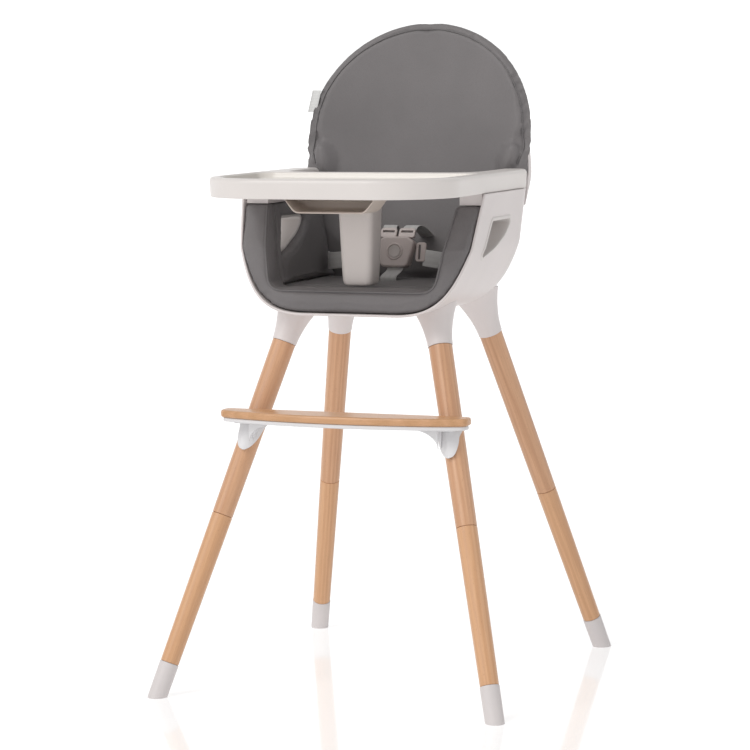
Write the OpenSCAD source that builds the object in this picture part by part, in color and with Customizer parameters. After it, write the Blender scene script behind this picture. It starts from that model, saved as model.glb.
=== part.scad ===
// Convertible baby high chair: a bucket seat with a padded liner on four
// splayed two-piece legs, a footrest and a sliding tray with a crotch post.
// Millimetres, +Z up, front towards -Y, origin on the floor under the chair.

/* [Seat shell] */
// Height of the shell's underside above the floor
seat_h = 545; // [430:1:660]
// Width of the bucket at its rim
seat_w = 376; // [310:1:455]
// Depth of the bucket, front lip to rear wall
seat_depth = 289; // [265:1:350]
// Height of the bucket from underside to rim
bucket_h = 172.5; // [160:0.5:210]
// How far the middle of the bucket lies behind the origin
seat_mid_y = -15.2; // [-30:0.1:30]
// How far each side wall leans out between hip and rim
wall_lean = 9; // [0:1:20]
// Wall of the moulded shells
wall = 3.5; // [2.5:0.1:5]
// Height of the rounded lower corner
corner_h = 95; // [70:1:110]
// Width of the flat underside
flat_w = 140; // [100:1:180]
// How far the front opening leans back between underside and rim
front_lean = 58; // [30:1:70]

/* [Backrest] */
// Height of the backrest above the rim
back_h = 243; // [200:1:300]
// Width of the backrest pad at its widest
back_w = 356; // [290:1:430]
// How far the middle of the backrest leans back for each millimetre up
back_lean = 0.226; // [0.1:0.01:0.3]
// Radius of the hollow that the back rests in
back_hollow_r = 700; // [500:10:1200]
// Thickness of the upper back pad at the middle
back_pad_t = 38; // [25:1:50]

/* [Legs] */
// Diameter at the top of a leg
leg_d = 34; // [28:0.5:41]
// Diameter at the foot end of a leg
leg_foot_d = 26; // [22:0.5:31]
// How far a front foot stands out sideways from its leg's top
front_splay_x = 136; // [100:1:165]
// How far a front foot stands forward of its leg's top
front_splay_y = 162; // [130:1:195]
// How far a rear foot stands out sideways from its leg's top
rear_splay_x = 116; // [90:1:140]
// How far a rear foot stands behind its leg's top
rear_splay_y = 181; // [150:1:215]
// How far the leg tops lie inside the hip of the shell
leg_inset_x = 58; // [50:1:70]
// How far the front leg tops lie behind the front lip
front_setback = 51; // [45:1:60]
// How far the rear leg tops lie ahead of the rear wall
rear_setback = 25; // [20:1:40]
// Length of the moulded socket below the shell
socket_len = 44; // [36:1:52]
// Height of the foot caps
cap_h = 48; // [38:1:58]
// Height of the joint between upper and lower leg
leg_joint_h = 256; // [210:1:310]

/* [Footrest] */
// Width of the footrest board
footrest_w = 378; // [330:1:430]
// Depth of the board at its ends
footrest_end_d = 30; // [26:1:40]
// How far the board's front edge bows forward
footrest_bow = 28; // [10:1:40]
// Height of the board's top face above the floor
footrest_h = 409; // [350:1:440]
// Thickness of the board
board_t = 11; // [8:0.5:14]
// Thickness of the moulded frame under the board
frame_t = 6; // [4:0.5:8]

/* [Tray] */
// Width of the tray
tray_w = 372; // [340:1:440]
// How far the tray's front edge lies ahead of the shell's front lip
tray_reach = 140; // [120:1:190]
// Thickness of the tray
tray_t = 28; // [24:1:34]
// Radius of the tray's front corners
tray_corner_r = 105; // [80:1:130]
// Width of each tray arm
arm_w = 40; // [36:1:46]
// Width of the rim around the tray's recess
tray_rim = 15; // [10:1:20]
// Depth of the tray's recess
recess_d = 13; // [9:0.5:15]
// Travel of the release handle
handle_travel = 12; // [8:1:14]
// Travel of each latch
latch_travel = 8; // [6:1:9]

/* [Rails] */
// Height of a side rail
rail_h = 16; // [12:1:20]
// Width of a side rail
rail_w = 34; // [30:1:40]
// Thickness of the guide tongue on a rail
tongue_t = 8; // [6:0.5:10]
// Gap on each side of the tongue in the tray arm's groove
tongue_gap = 0.4; // [0.2:0.1:1]

/* [Crotch post] */
// Width of the crotch post at the tray
post_top_w = 54; // [44:1:64]
// Width of the crotch post at its foot
post_foot_w = 44; // [36:1:52]
// Gap between the post's foot and the seat pad
post_gap = 3; // [1:0.5:6]

/* [Liner] */
// Width of the padded roll round the front opening
roll_w = 38; // [30:1:44]
// Depth of the padded roll, front to back
roll_d = 34; // [26:1:42]
// Gap between the liner and what carries it
liner_gap = 0.3; // [0.2:0.1:0.8]

/* [Harness] */
// Width of the webbing
web_w = 25; // [20:1:32]
// Thickness of the webbing
web_t = 1.6; // [1.2:0.1:2.4]

/* [Hidden] */
$fn = 64;

// Shared clearances
eps = 0.01;
seat_gap = 0.15;      // between fixed pieces that fit into each other
run_gap = 0.3;        // between pieces that slide past each other
through = 1;          // how far a cutter passes a face

// Shell, worked out
rim_hw = seat_w/2;
hip_hw = rim_hw - wall_lean;
rim_z = seat_h + bucket_h;
hip_z = seat_h + corner_h;
front_y = seat_mid_y - seat_depth/2;
rear_y = seat_mid_y + seat_depth/2;
rim_front_y = front_y + front_lean;
rim_rear_y = rear_y + 3;
plan_corner_r = 85;
back_top_z = rim_z + back_h;
back_mid_y = rear_y - 5.5;    // middle of the back pad's face at the rim's height
shoulder_hw = back_w/2 - 10;
shell_edge_hw = rim_hw - 4;
back_bulge = 68;              // how far the back shell stands behind the bucket
skirt = 26;                   // how far the back shell reaches down over the bucket
shell_swell = 12;             // how far the back shell's sides swell between rim and shoulder
shell_top_z = back_top_z - 10;

// Seat well, worked out
seat_pad_top = seat_h + roll_w;
well_foot_hw = hip_hw - 55;
well_rim_hw = rim_hw - 37;
pad_front_y = front_y + roll_d + 14;

// Rails, worked out
rail_top = rim_z - 0.2;
rail_z0 = rail_top - rail_h;
rail_out_x = hip_hw - wall + wall_lean*(rail_z0 - hip_z)/(rim_z - hip_z) - 2*liner_gap;
rail_in_x = rail_out_x - rail_w;
rail_y0 = rim_front_y + 3;
rail_y1 = rear_y - 49;
tongue_x = rail_in_x + rail_w/2 + 3;
tongue_h = 13;

// Tray, worked out
tray_z0 = rim_z + run_gap;
tray_z1 = tray_z0 + tray_t;
tray_y0 = front_y - tray_reach;
tray_hw = tray_w/2;
arm_in_x = tray_hw - arm_w;
arm_y1 = rail_y1 + 16;
plate_y1 = rim_front_y + 49;
inner_corner_r = 45;
cover_t = 3;
insert_t = 2.5;
recess_z = tray_z1 - recess_d;
latch_size = 8;
latch_z = tray_z0 + cover_t + 1;
latch_y = rail_y0 + 30;
latch_root_x = 42;
handle_y0 = front_y - 65;
handle_y1 = front_y - 10;
handle_top_w = 141;
handle_foot_w = 107;
handle_h = 23;
handle_wall = 2.5;

// Crotch post, worked out
post_y = front_y + 52;
post_z0 = seat_pad_top + post_gap;
post_top_d = 50;
post_foot_d = 40;

// Legs, worked out: [side of X, side of Y]
leg_top_x = hip_hw - leg_inset_x;
leg_top_z = seat_h - socket_len;
function leg_top(s) = [s[0]*leg_top_x, s[1] < 0 ? front_y + front_setback : rear_y - rear_setback, leg_top_z];
function leg_foot(s) = leg_top(s) + [s[0]*(s[1] < 0 ? front_splay_x : rear_splay_x),
  s[1]*(s[1] < 0 ? front_splay_y : rear_splay_y), -leg_top_z];
function leg_len(s) = norm(leg_top(s) - leg_foot(s));
// Distance along the leg from the floor to the height z
function along(s, z) = leg_len(s)*z/leg_top_z;
function leg_r(s, a) = (leg_foot_d + (leg_d - leg_foot_d)*a/leg_len(s))/2;
function leg_point(s, z) = leg_foot(s) + (leg_top(s) - leg_foot(s))*z/leg_top_z;
FL = [-1, -1];
FR = [1, -1];
RL = [-1, 1];
RR = [1, 1];
LEGS = [FL, FR, RL, RR];
tenon_d = 22;
tenon_len = 30;
foot_tenon_d = 18;
foot_tenon_len = 36;
bolt_d = 8;
leg_gap = 0.2;

// Footrest, worked out
board_z0 = footrest_h - board_t;
frame_z0 = board_z0 - frame_t;
front_leg_at_board = leg_point(FR, board_z0);
leg_front_y = front_leg_at_board[1] - leg_d/2 - 1;
board_y1 = leg_front_y - 3;
board_y0 = board_y1 - footrest_end_d;
bracket_drop = 40;
bracket_wall = 4;
footrest_bolt_d = 5;

// Side openings, worked out: corners of the outer outline as [y, z]
open_top_z = rim_z - 38;
open_foot_z = rim_z - 97;
open_corners = [[rim_front_y + 40, open_top_z], [rim_front_y + 12, open_foot_z],
  [rim_front_y + 60, open_foot_z + 14], [rim_front_y + 104, open_top_z - 25], [rim_front_y + 128, open_top_z]];
open_radii = [6, 7, 40, 60, 6];
bezel_wall = 2.5;
bezel_lip = 1.2;
bezel_screw_z = open_top_z - 20;
bezel_screw_y = open_corners[0][0] + 20*(open_corners[1][0] - open_corners[0][0])/(open_top_z - open_foot_z);
bezel_screw_d = 4;
bezel_screw_len = 16;

// Harness, worked out
buckle_w = 60;
buckle_h = 46;
buckle_t = 18;
buckle_x = -4;
buckle_y = rear_y - 86;
buckle_z = seat_pad_top + 40;
buckle_tilt = 14;
button_d = 19;

// ---- Curves and outlines -------------------------------------------------

// Points of a cubic Bezier curve
function bez(a, b, c, d, n) = [for (i = [0:n]) let (t = i/n)
  a*pow(1 - t, 3) + 3*b*t*pow(1 - t, 2) + 3*c*t*t*(1 - t) + d*pow(t, 3)];

function unit(v) = v/norm(v);

// Arc that rounds the corner b of a-b-c with radius r
function corner(a, b, c, r, n) = let (
    u = unit(a - b), w = unit(c - b), half = acos(max(-1, min(1, u*w)))/2,
    centre = b + unit(u + w)*r/sin(half),
    p = b + u*r/tan(half), q = b + w*r/tan(half),
    a0 = atan2(p[1] - centre[1], p[0] - centre[0]),
    a1 = atan2(q[1] - centre[1], q[0] - centre[0]),
    turn = ((a1 - a0 + 540) % 360) - 180)
  r <= 0 ? [b] : [for (i = [0:n]) centre + r*[cos(a0 + turn*i/n), sin(a0 + turn*i/n)]];

// Polygon with each corner rounded by its own radius
function rounded(pts, radii, n = 6) = let (k = len(pts)) [for (i = [0:k - 1])
  for (p = corner(pts[(i + k - 1) % k], pts[i], pts[(i + 1) % k], radii[i], n)) p];

// The polygon moved inwards by d; its corners run counter-clockwise
function inset(pts, d) = let (k = len(pts)) [for (i = [0:k - 1]) let (
    u = unit(pts[i] - pts[(i + k - 1) % k]), w = unit(pts[(i + 1) % k] - pts[i]),
    nu = [-u[1], u[0]], nw = [-w[1], w[0]])
  pts[i] + d*(nu + nw)/(1 + nu*nw)];

function shrink(radii, d) = [for (r = radii) max(r - d, 0.5)];

function mirrored(half) = concat(half, [for (i = [len(half) - 1:-1:0]) [-half[i][0], half[i][1]]]);

// Right half of the bucket's front outline [x, z], moved in by s, up to z = top
function u_half(s, top) = concat(
  bez([flat_w/2, seat_h + s], [flat_w/2 + 0.62*(hip_hw - s - flat_w/2), seat_h + s],
    [hip_hw - s - 0.19*(hip_hw - flat_w/2), seat_h + s + 0.36*corner_h], [hip_hw - s, hip_z], 9),
  [[hip_hw - s + wall_lean*(top - hip_z)/(rim_z - hip_z), top]]);

// Front edge of the bucket [y, z] from rim to underside
function front_edge(s, top) = bez([rim_front_y + s, top], [front_y + 35 + s, top - 60],
  [front_y + 10 + s, seat_h + 50], [front_y + s, seat_h], 6);

// Rear wall of the bucket [y, z] from underside to rim, moved in by s
function rear_edge(s, top) = concat(
  bez([rear_y - 80, seat_h + s], [rear_y - 25 - s, seat_h + s], [rear_y - 4 - s, seat_h + 35 + s],
    [rear_y - s, seat_h + 85], 7),
  [[rim_rear_y - s, top]]);

// Solid whose front view is pts, between y0 and y1
module front_prism(pts, y0, y1) {
  translate([0, y1, 0]) rotate([90, 0, 0]) linear_extrude(y1 - y0) polygon(pts);
}

// Solid whose side view is pts [y, z], between x0 and x1
module side_prism(pts, x0, x1) {
  translate([x0, 0, 0]) rotate([90, 0, 90]) linear_extrude(x1 - x0) polygon(pts);
}

// Plan with rounded rear corners
module plan_prism(hw, y0, y1, r, z0, z1) {
  translate([0, 0, z0]) linear_extrude(z1 - z0)
    polygon(rounded([[-hw, y0], [hw, y0], [hw, y1], [-hw, y1]], [0, 0, r, r], 9));
}

module mirror_x(side) {
  if (side < 0) mirror([1, 0, 0]) children();
  else children();
}

// ---- Shells --------------------------------------------------------------

// The bucket's outer form, moved in by s
module bucket_form(s) {
  intersection() {
    front_prism(mirrored(u_half(s, rim_z)), front_y - 5, rear_y + 20);
    side_prism(concat(rear_edge(s, rim_z), front_edge(s, rim_z)), -rim_hw - 20, rim_hw + 20);
    plan_prism(rim_hw + 5, front_y - 5, rim_rear_y - s, plan_corner_r - s, seat_h - 5, rim_z + 5);
  }
}

// The space inside the bucket, open to the front and above
module bucket_cavity(s) {
  top = rim_z + 20;
  intersection() {
    front_prism(mirrored(u_half(s, top)), front_y - 40, rear_y + 20);
    side_prism(concat(rear_edge(s, top), [[front_y - 30, top], [front_y - 30, seat_h + s]]),
      -rim_hw - 20, rim_hw + 20);
    plan_prism(rim_hw + 5, front_y - 50, rim_rear_y - s, plan_corner_r - s, seat_h - 5, top + 5);
  }
}

// Side opening's outline moved in by d, as a bar through one side wall
module side_opening(d, x0, x1) {
  side_prism(rounded(inset(open_corners, d), shrink(open_radii, d), 6), x0, x1);
}

module seat_shell() {
  color("whitesmoke") difference() {
    bucket_form(0);
    bucket_cavity(wall);
    for (side = [-1, 1]) mirror_x(side) side_opening(0, rim_hw - 60, rim_hw + 30);
    for (s = LEGS) leg_top_bolt_hole(s);
    for (side = [-1, 1]) translate([side*harness_slot_x, rear_y - 30, harness_slot_z])
      cube([web_w + 2, 60, 5], center = true);
    shell_screw_holes(shell_screw_d/2 + leg_gap);
  }
  for (side = [-1, 1]) color("whitesmoke") difference() {
    intersection() {
      bezel_boss(side, 0);
      bucket_form(wall/2);
    }
    mirror_x(side) bezel_screw_hole(bezel_screw_d/2 + leg_gap);
  }
}

// Boss on the side wall, ahead of the opening, that takes the bezel's screw
module bezel_boss(side, grow) {
  mirror_x(side) translate([rim_hw - 31 - grow, bezel_screw_y - 18 - grow, bezel_screw_z - 6 - grow])
    cube([31, 14.5 + 2*grow, 12 + 2*grow]);
}

// Column the back is hollowed by: its front face leans back with the backrest
module back_hollow(shift, r) {
  lean = atan(back_lean);
  translate([0, back_mid_y + shift, rim_z]) rotate([-lean, 0, 0])
    translate([0, -r, -400]) cylinder(h = 1000, r = r, $fn = 180);
}

// Height where the backrest's straight sides turn into its dome
dome_spring_z = rim_z + 75;

// Right half of the back's front outline, of half width hw, from z0 to the top
function dome_half(hw, foot_hw, swell, z0, top) = concat(
  bez([foot_hw, z0], [foot_hw + 4, z0 + 0.45*(dome_spring_z - z0)], [hw + swell, dome_spring_z - 32],
    [hw, dome_spring_z], 6),
  [for (i = [1:11]) let (a = 90*i/11) [hw*cos(a), dome_spring_z + (top - dome_spring_z)*sin(a)]]);

back_front_y = back_mid_y - 60;
bulge_y = rear_y + back_bulge;

// Rear face of the back shell [y, z], moved in by s
function back_rear(s) = concat(
  bez([rim_rear_y - s, rim_z - skirt], [rim_rear_y + 30 - s, rim_z - skirt + 4],
    [bulge_y - s - 12, rim_z - 12], [bulge_y - s, rim_z + 20], 6),
  bez([bulge_y + 3 - s, rim_z + 80], [bulge_y + 9 - s, rim_z + 150],
    [bulge_y + 12 - s, back_top_z - 30], [bulge_y + 4 - s, back_top_z + 5], 4));

module back_form(s) {
  intersection() {
    front_prism(mirrored(dome_half(shoulder_hw - s, shell_edge_hw - s, shell_swell, rim_z - skirt, shell_top_z - s)),
      back_front_y - 20, bulge_y + 40);
    side_prism(concat(back_rear(s), [[back_front_y, back_top_z + 5], [back_front_y, rim_z - skirt]]),
      -rim_hw - 10, rim_hw + 10);
    plan_prism(shell_edge_hw + 2 - s, back_front_y - 10, bulge_y + 9 - s, 100, rim_z - skirt - 5, back_top_z + 10);
  }
}

// How far the back shell's front edge stands behind the pad's face
back_edge_shift = 12;

module back_shell() {
  color("whitesmoke") difference() {
    back_form(0);
    difference() {
      back_form_inner(wall);
      // flange that the screws hold against the bucket's rear wall
      translate([-100, rim_rear_y, rim_z - skirt]) cube([200, wall + seat_gap, skirt - seat_gap]);
    }
    back_hollow(back_edge_shift, back_hollow_r);
    bucket_form(-seat_gap);
    // room for the tray arms and the rails
    for (side = [-1, 1]) mirror_x(side)
      translate([arm_in_x - 10, back_front_y - 50, rim_z - skirt - 10])
        cube([rim_hw, arm_y1 + 2 - (back_front_y - 50), tray_z1 - rim_z + skirt + 12]);
    shell_screw_holes(shell_screw_d/2 + leg_gap);
  }
}

// Inside of the back shell, moved in by s and open at the front
module back_form_inner(s) {
  intersection() {
    front_prism(mirrored(dome_half(shoulder_hw - s, shell_edge_hw - s, shell_swell, rim_z - skirt - 1, shell_top_z - s)),
      back_front_y - 20, bulge_y + 40);
    side_prism(concat([for (p = back_rear(s)) [p[0], p[1] + (p[1] < rim_z ? s : 0)]],
      [[back_front_y - 5, back_top_z + 5], [back_front_y - 5, rim_z - skirt + s]]),
      -rim_hw - 10, rim_hw + 10);
    plan_prism(shell_edge_hw + 2 - s, back_front_y - 10, bulge_y + 9 - s, 100 - s, rim_z - skirt - 5, back_top_z + 10);
  }
}

// Four screws that join the back shell's skirt to the bucket's rear wall
shell_screw_d = 5;
shell_screw_len = 12;
shell_screw_z = rim_z - 11;
shell_screw_x = [-75, -25, 25, 75];
harness_slot_x = 38;
harness_slot_z = seat_pad_top + 62;

module shell_screw_holes(r) {
  for (x = shell_screw_x) translate([x, rim_rear_y + 40, shell_screw_z]) rotate([90, 0, 0])
    cylinder(h = 60, r = r, $fn = 24);
}

module shell_screws() {
  color("silver") for (x = shell_screw_x) translate([x, rim_rear_y - wall - 3, shell_screw_z])
    rotate([-90, 0, 0]) {
      cylinder(h = shell_screw_len, r = shell_screw_d/2, $fn = 24);
      translate([0, 0, -2.5]) cylinder(h = 2.5, r = shell_screw_d, $fn = 24);
    }
}

// Rail along the bucket's rim, with the tongue that guides the tray
module rail(side) {
  color("whitesmoke") mirror_x(side) difference() {
    union() {
      translate([rail_in_x, rail_y0, rail_z0]) cube([rail_w, rail_y1 - rail_y0, rail_h]);
      translate([tongue_x - tongue_t/2, rail_y0 + 4, rail_top - eps])
        cube([tongue_t, rail_y1 - rail_y0 - 8, tongue_h]);
    }
    // groove that the latch runs in, open at the front
    translate([tongue_x - tongue_t/2 - through, rail_y0 - through, latch_z - run_gap])
      cube([through + 5, latch_y + 2*latch_size - rail_y0 + through, latch_size + 2*run_gap]);
  }
}

// Moulded frame that lines the side opening from the shell to the liner
module bezel(side) {
  color("gainsboro") mirror_x(side) difference() {
    intersection() {
      side_opening(seat_gap, bezel_in_x, rim_hw + 20);
      bucket_form(-bezel_lip);
    }
    side_opening(seat_gap + bezel_wall, bezel_in_x - 5, rim_hw + 30);
    bezel_screw_hole(bezel_screw_d/2 + leg_gap);
  }
}
bezel_in_x = well_rim_hw - 4;

module bezel_screw_hole(r) {
  translate([rim_hw - 24, bezel_screw_y - 20, bezel_screw_z]) rotate([-90, 0, 0])
    cylinder(h = 40, r = r, $fn = 24);
}

module bezel_screws() {
  color("silver") for (side = [-1, 1]) mirror_x(side)
    translate([rim_hw - 24, bezel_screw_y + bezel_wall + 4.5, bezel_screw_z]) rotate([90, 0, 0]) {
      cylinder(h = bezel_screw_len + 1, r = bezel_screw_d/2, $fn = 24);
      cylinder(h = 1.5, r = bezel_screw_d*0.9, $fn = 24);
    }
}

// ---- Legs ----------------------------------------------------------------

// Children stand along the leg, with +Z from foot to top
module on_leg(s) {
  d = leg_top(s) - leg_foot(s);
  translate(leg_foot(s)) rotate([0, acos(d[2]/norm(d)), atan2(d[1], d[0])]) children();
}

module leg_taper(s, a0, a1, grow = 0) {
  translate([0, 0, a0]) cylinder(h = a1 - a0, r1 = leg_r(s, a0) + grow, r2 = leg_r(s, a1) + grow);
}

module leg_top_bolt_hole(s) {
  on_leg(s) translate([0, 0, leg_len(s)]) cylinder(h = 70, r = bolt_d/2 + leg_gap, $fn = 32);
}

socket_rise = 34;
module leg_socket(s) {
  flare = concat([for (i = [0:8]) let (t = i/8) [leg_d/2 + 1 + 22*pow(t, 1.8), t*(socket_len + socket_rise)]],
    [[0, socket_len + socket_rise]]);
  color("whitesmoke") difference() {
    on_leg(s) translate([0, 0, leg_len(s)]) rotate_extrude()
      polygon(concat([[0, 0]], flare));
    bucket_form(0);
    bucket_cavity(wall + seat_gap);
    translate([-400, -400, seat_h + 25]) cube(800);
    on_leg(s) translate([0, 0, leg_len(s) - through]) cylinder(h = tenon_len + through + 1, r = tenon_d/2 + leg_gap);
    leg_top_bolt_hole(s);
  }
}

module upper_leg(s) {
  color("burlywood") difference() {
    on_leg(s) union() {
      leg_taper(s, along(s, leg_joint_h), leg_len(s));
      translate([0, 0, leg_len(s) - eps]) cylinder(h = tenon_len, r = tenon_d/2);
    }
    stud_holes(s);
    if (s[1] < 0) footrest_bolt_hole(s);
  }
}

module stud_holes(s) {
  on_leg(s) {
    translate([0, 0, along(s, leg_joint_h) - 26]) cylinder(h = 52, r = bolt_d/2 + leg_gap, $fn = 32);
    translate([0, 0, leg_len(s) + tenon_len - 22]) cylinder(h = 24, r = bolt_d/2 + leg_gap, $fn = 32);
  }
}

module lower_leg(s) {
  cap_a = along(s, cap_h);
  color("tan") difference() {
    on_leg(s) union() {
      leg_taper(s, cap_a + seat_gap, along(s, leg_joint_h) - seat_gap);
      translate([0, 0, cap_a - foot_tenon_len]) cylinder(h = foot_tenon_len + 1, r = foot_tenon_d/2);
    }
    stud_holes(s);
  }
}

cap_grow = 0.6;       // how far the cap stands proud of the wood
module foot_cap(s) {
  cap_a = along(s, cap_h);
  color("gainsboro") difference() {
    intersection() {
      // turned about its own axis, so that the cone's seam lies clear of the sole's edge
      on_leg(s) rotate([0, 0, 90]) leg_taper(s, -20, cap_a, cap_grow);
      translate([-600, -600, 0]) cube([1200, 1200, 200]);
    }
    on_leg(s) translate([0, 0, cap_a - foot_tenon_len - 1])
      cylinder(h = foot_tenon_len + 5, r = foot_tenon_d/2 + leg_gap);
  }
}

module leg_top_bolts() {
  color("silver") for (s = LEGS) on_leg(s) translate([0, 0, leg_len(s) + tenon_len - 21])
    cylinder(h = 40, r = bolt_d/2, $fn = 32);
}

module leg_joint_studs() {
  color("silver") for (s = LEGS) on_leg(s) translate([0, 0, along(s, leg_joint_h) - 25])
    cylinder(h = 50, r = bolt_d/2, $fn = 32);
}

// ---- Footrest ------------------------------------------------------------

// Outline of the board moved in by d: a bowed front edge and rounded ends
function board_outline(d) = let (hw = footrest_w/2 - d, y1 = board_y1 - d, y0 = board_y0 + d) concat(
  corner([hw - 60, y1], [hw, y1], [hw, y0], 9, 4),
  corner([hw, y1], [hw, y0], [hw - 60, y0 - footrest_bow*0.3], 13, 4),
  [for (i = [-9:9]) let (x = -i/10*hw*0.88) [x, y0 - footrest_bow*(1 - pow(x/hw, 2))]],
  corner([60 - hw, y0 - footrest_bow*0.3], [-hw, y0], [-hw, y1], 13, 4),
  corner([-hw, y0], [-hw, y1], [60 - hw, y1], 9, 4));

module footrest_board() {
  color("burlywood") translate([0, 0, board_z0]) linear_extrude(board_t) polygon(board_outline(0));
}

module footrest_frame() {
  color("whitesmoke") translate([0, 0, frame_z0]) linear_extrude(frame_t - seat_gap)
    polygon(board_outline(3));
}

// Bracket: a cradle on the front of the leg and a gusset up to the frame
module footrest_bracket(side) {
  s = [side, -1];
  a1 = along(s, frame_z0 - seat_gap);
  a0 = along(s, frame_z0 - bracket_drop);
  p = leg_point(s, frame_z0);
  color("whitesmoke") difference() {
    union() {
      intersection() {
        on_leg(s) leg_taper(s, a0, a1 + 20, bracket_wall);
        translate([p[0] - 40, p[1] - 60, 0]) cube([80, 60, frame_z0 - seat_gap]);
      }
      mirror_x(side) front_prism(concat([[p[0]*side - 55, frame_z0 - seat_gap]],
        [for (i = [0:8]) let (a = 90*i/8) [p[0]*side - 55 + 47*sin(a), frame_z0 - seat_gap - 1 - 24*(1 - cos(a))]],
        [[p[0]*side, frame_z0 - 25], [p[0]*side, frame_z0 - seat_gap]]),
        board_y1 - 24, board_y1 - 6);
      translate([p[0] - 20, board_y1 - 24, frame_z0 - 5 - seat_gap]) cube([40, leg_front_y - board_y1 + 26, 5]);
    }
    on_leg(s) leg_taper(s, a0 - 30, a1 + 40, seat_gap);
    footrest_bolt_hole(s);
  }
}

footrest_bolt_z = frame_z0 - 19;
module footrest_bolt_hole(s) {
  translate(leg_point(s, footrest_bolt_z)) rotate([90, 0, 0])
    cylinder(h = 100, r = footrest_bolt_d/2 + leg_gap, center = true, $fn = 32);
}

module footrest_bolts() {
  color("silver") for (side = [-1, 1]) translate(leg_point([side, -1], footrest_bolt_z)) rotate([90, 0, 0]) {
    translate([0, 0, -leg_d/2 + 1]) cylinder(h = leg_d + 2, r = footrest_bolt_d/2, $fn = 32);
  }
}

// ---- Tray ----------------------------------------------------------------

// U outline of the tray, moved in by d, from front plate to arm ends
function tray_outline(d) = rounded([
    [-tray_hw + d, tray_y0 + d], [tray_hw - d, tray_y0 + d], [tray_hw - d, arm_y1 - d],
    [arm_in_x + d, arm_y1 - d], [arm_in_x + d, plate_y1 - d], [-arm_in_x - d, plate_y1 - d],
    [-arm_in_x - d, arm_y1 - d], [-tray_hw + d, arm_y1 - d]],
  [tray_corner_r - d, tray_corner_r - d, 14 - d/2, 10 - d/3, inner_corner_r + d, inner_corner_r + d,
    10 - d/3, 14 - d/2], 8);

// Outline of the recess, moved in by d
function recess_outline(d) = rounded([
    [-tray_hw + tray_rim + d, tray_y0 + tray_rim + d], [tray_hw - tray_rim - d, tray_y0 + tray_rim + d],
    [tray_hw - tray_rim - d, plate_y1 - tray_rim - d], [-tray_hw + tray_rim + d, plate_y1 - tray_rim - d]],
  [tray_corner_r - tray_rim - d, tray_corner_r - tray_rim - d, 26 - d, 26 - d], 8);

module tray_body() {
  color("whitesmoke") difference() {
    translate([0, 0, tray_z0]) linear_extrude(tray_t) polygon(tray_outline(0));
    translate([0, 0, recess_z]) linear_extrude(recess_d + through) polygon(recess_outline(0));
    // room for the latches, the handle's slide and the cover, from below
    translate([0, 0, tray_z0 - through]) linear_extrude(through + cover_t + seat_gap) cover_outline(0);
    translate([-latch_root_x - 45, handle_y0 + 8, tray_z0]) cube([2*latch_root_x + 90, latch_y - handle_y0 + 20, latch_top - tray_z0]);
    for (side = [-1, 1]) mirror_x(side) {
      translate([latch_root_x, latch_y - run_gap, tray_z0])
        cube([tongue_x - latch_root_x, latch_size + 2*run_gap, latch_top - tray_z0]);
      translate([tongue_x - tongue_t/2 - tongue_gap, rail_y0 + 3, tray_z0 - through])
        cube([tongue_t + 2*tongue_gap, arm_y1 - rail_y0, tongue_h + through + run_gap]);
    }
  }
}
latch_top = latch_z + latch_size + run_gap;

// Cover under the latches
module cover_outline(d) {
  polygon(rounded(inset([[-150, handle_y0 - 12], [150, handle_y0 - 12], [150, plate_y1 - 14], [-150, plate_y1 - 14]],
    d), [20, 20, 12, 12], 4));
}

module tray_bottom_cover() {
  color("whitesmoke") difference() {
    translate([0, 0, tray_z0]) linear_extrude(cover_t) cover_outline(seat_gap);
    // slot that the handle's stem moves in
    translate([-handle_stem_w/2 - run_gap, handle_stem_y - handle_travel - 1, tray_z0 - through])
      cube([handle_stem_w + 2*run_gap, handle_stem_d + handle_travel + 2, cover_t + 2*through]);
  }
}
handle_stem_w = 70;
handle_stem_d = 16;
handle_stem_y = handle_y0 + 30;

module tray_insert() {
  floor_z = recess_z + seat_gap;
  color("cornsilk") difference() {
    translate([0, 0, floor_z]) linear_extrude(tray_z1 - 1 - floor_z) polygon(recess_outline(run_gap));
    translate([0, 0, floor_z + insert_t]) linear_extrude(tray_t) polygon(recess_outline(run_gap + insert_t));
  }
}

// Cup-shaped handle under the tray, open to the front, on a slide inside the tray
module release_handle() {
  z1 = tray_z0 - run_gap;
  color("wheat") union() {
    difference() {
      front_prism([[-handle_foot_w/2, z1 - handle_h], [handle_foot_w/2, z1 - handle_h],
        [handle_top_w/2, z1], [-handle_top_w/2, z1]], handle_y0, handle_y1);
      front_prism([[-handle_foot_w/2 + handle_wall, z1 - handle_h + handle_wall],
        [handle_foot_w/2 - handle_wall, z1 - handle_h + handle_wall],
        [handle_top_w/2 - handle_wall, z1 - handle_wall], [-handle_top_w/2 + handle_wall, z1 - handle_wall]],
        handle_y0 - through, handle_y1 - 16);
    }
    translate([-handle_stem_w/2, handle_stem_y, z1 - 1]) cube([handle_stem_w, handle_stem_d, latch_z - z1 + 2]);
    translate([-latch_root_x + 4, handle_stem_y, latch_z])
      cube([2*latch_root_x - 8, latch_y - handle_stem_y - run_gap, 5]);
  }
}

module latch(side) {
  color("gray") mirror_x(side) translate([latch_root_x + latch_travel + 2, latch_y, latch_z])
    cube([tongue_x - tongue_t/2 + 4.4 - latch_root_x - latch_travel - 2, latch_size, latch_size]);
}

// Post under the tray that keeps a child from sliding out
module crotch_post() {
  z1 = tray_z0 - 0.05;
  color("wheat") hull() {
    translate([0, post_y, z1 - 2]) linear_extrude(2) rounded_rect(post_top_w, post_top_d, 9);
    translate([0, post_y, post_z0 + 12]) linear_extrude(2) rounded_rect(post_foot_w + 2, post_foot_d + 2, 9);
    translate([0, post_y, post_z0]) linear_extrude(1) rounded_rect(post_foot_w - 12, post_foot_d - 12, 6);
  }
}

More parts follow.
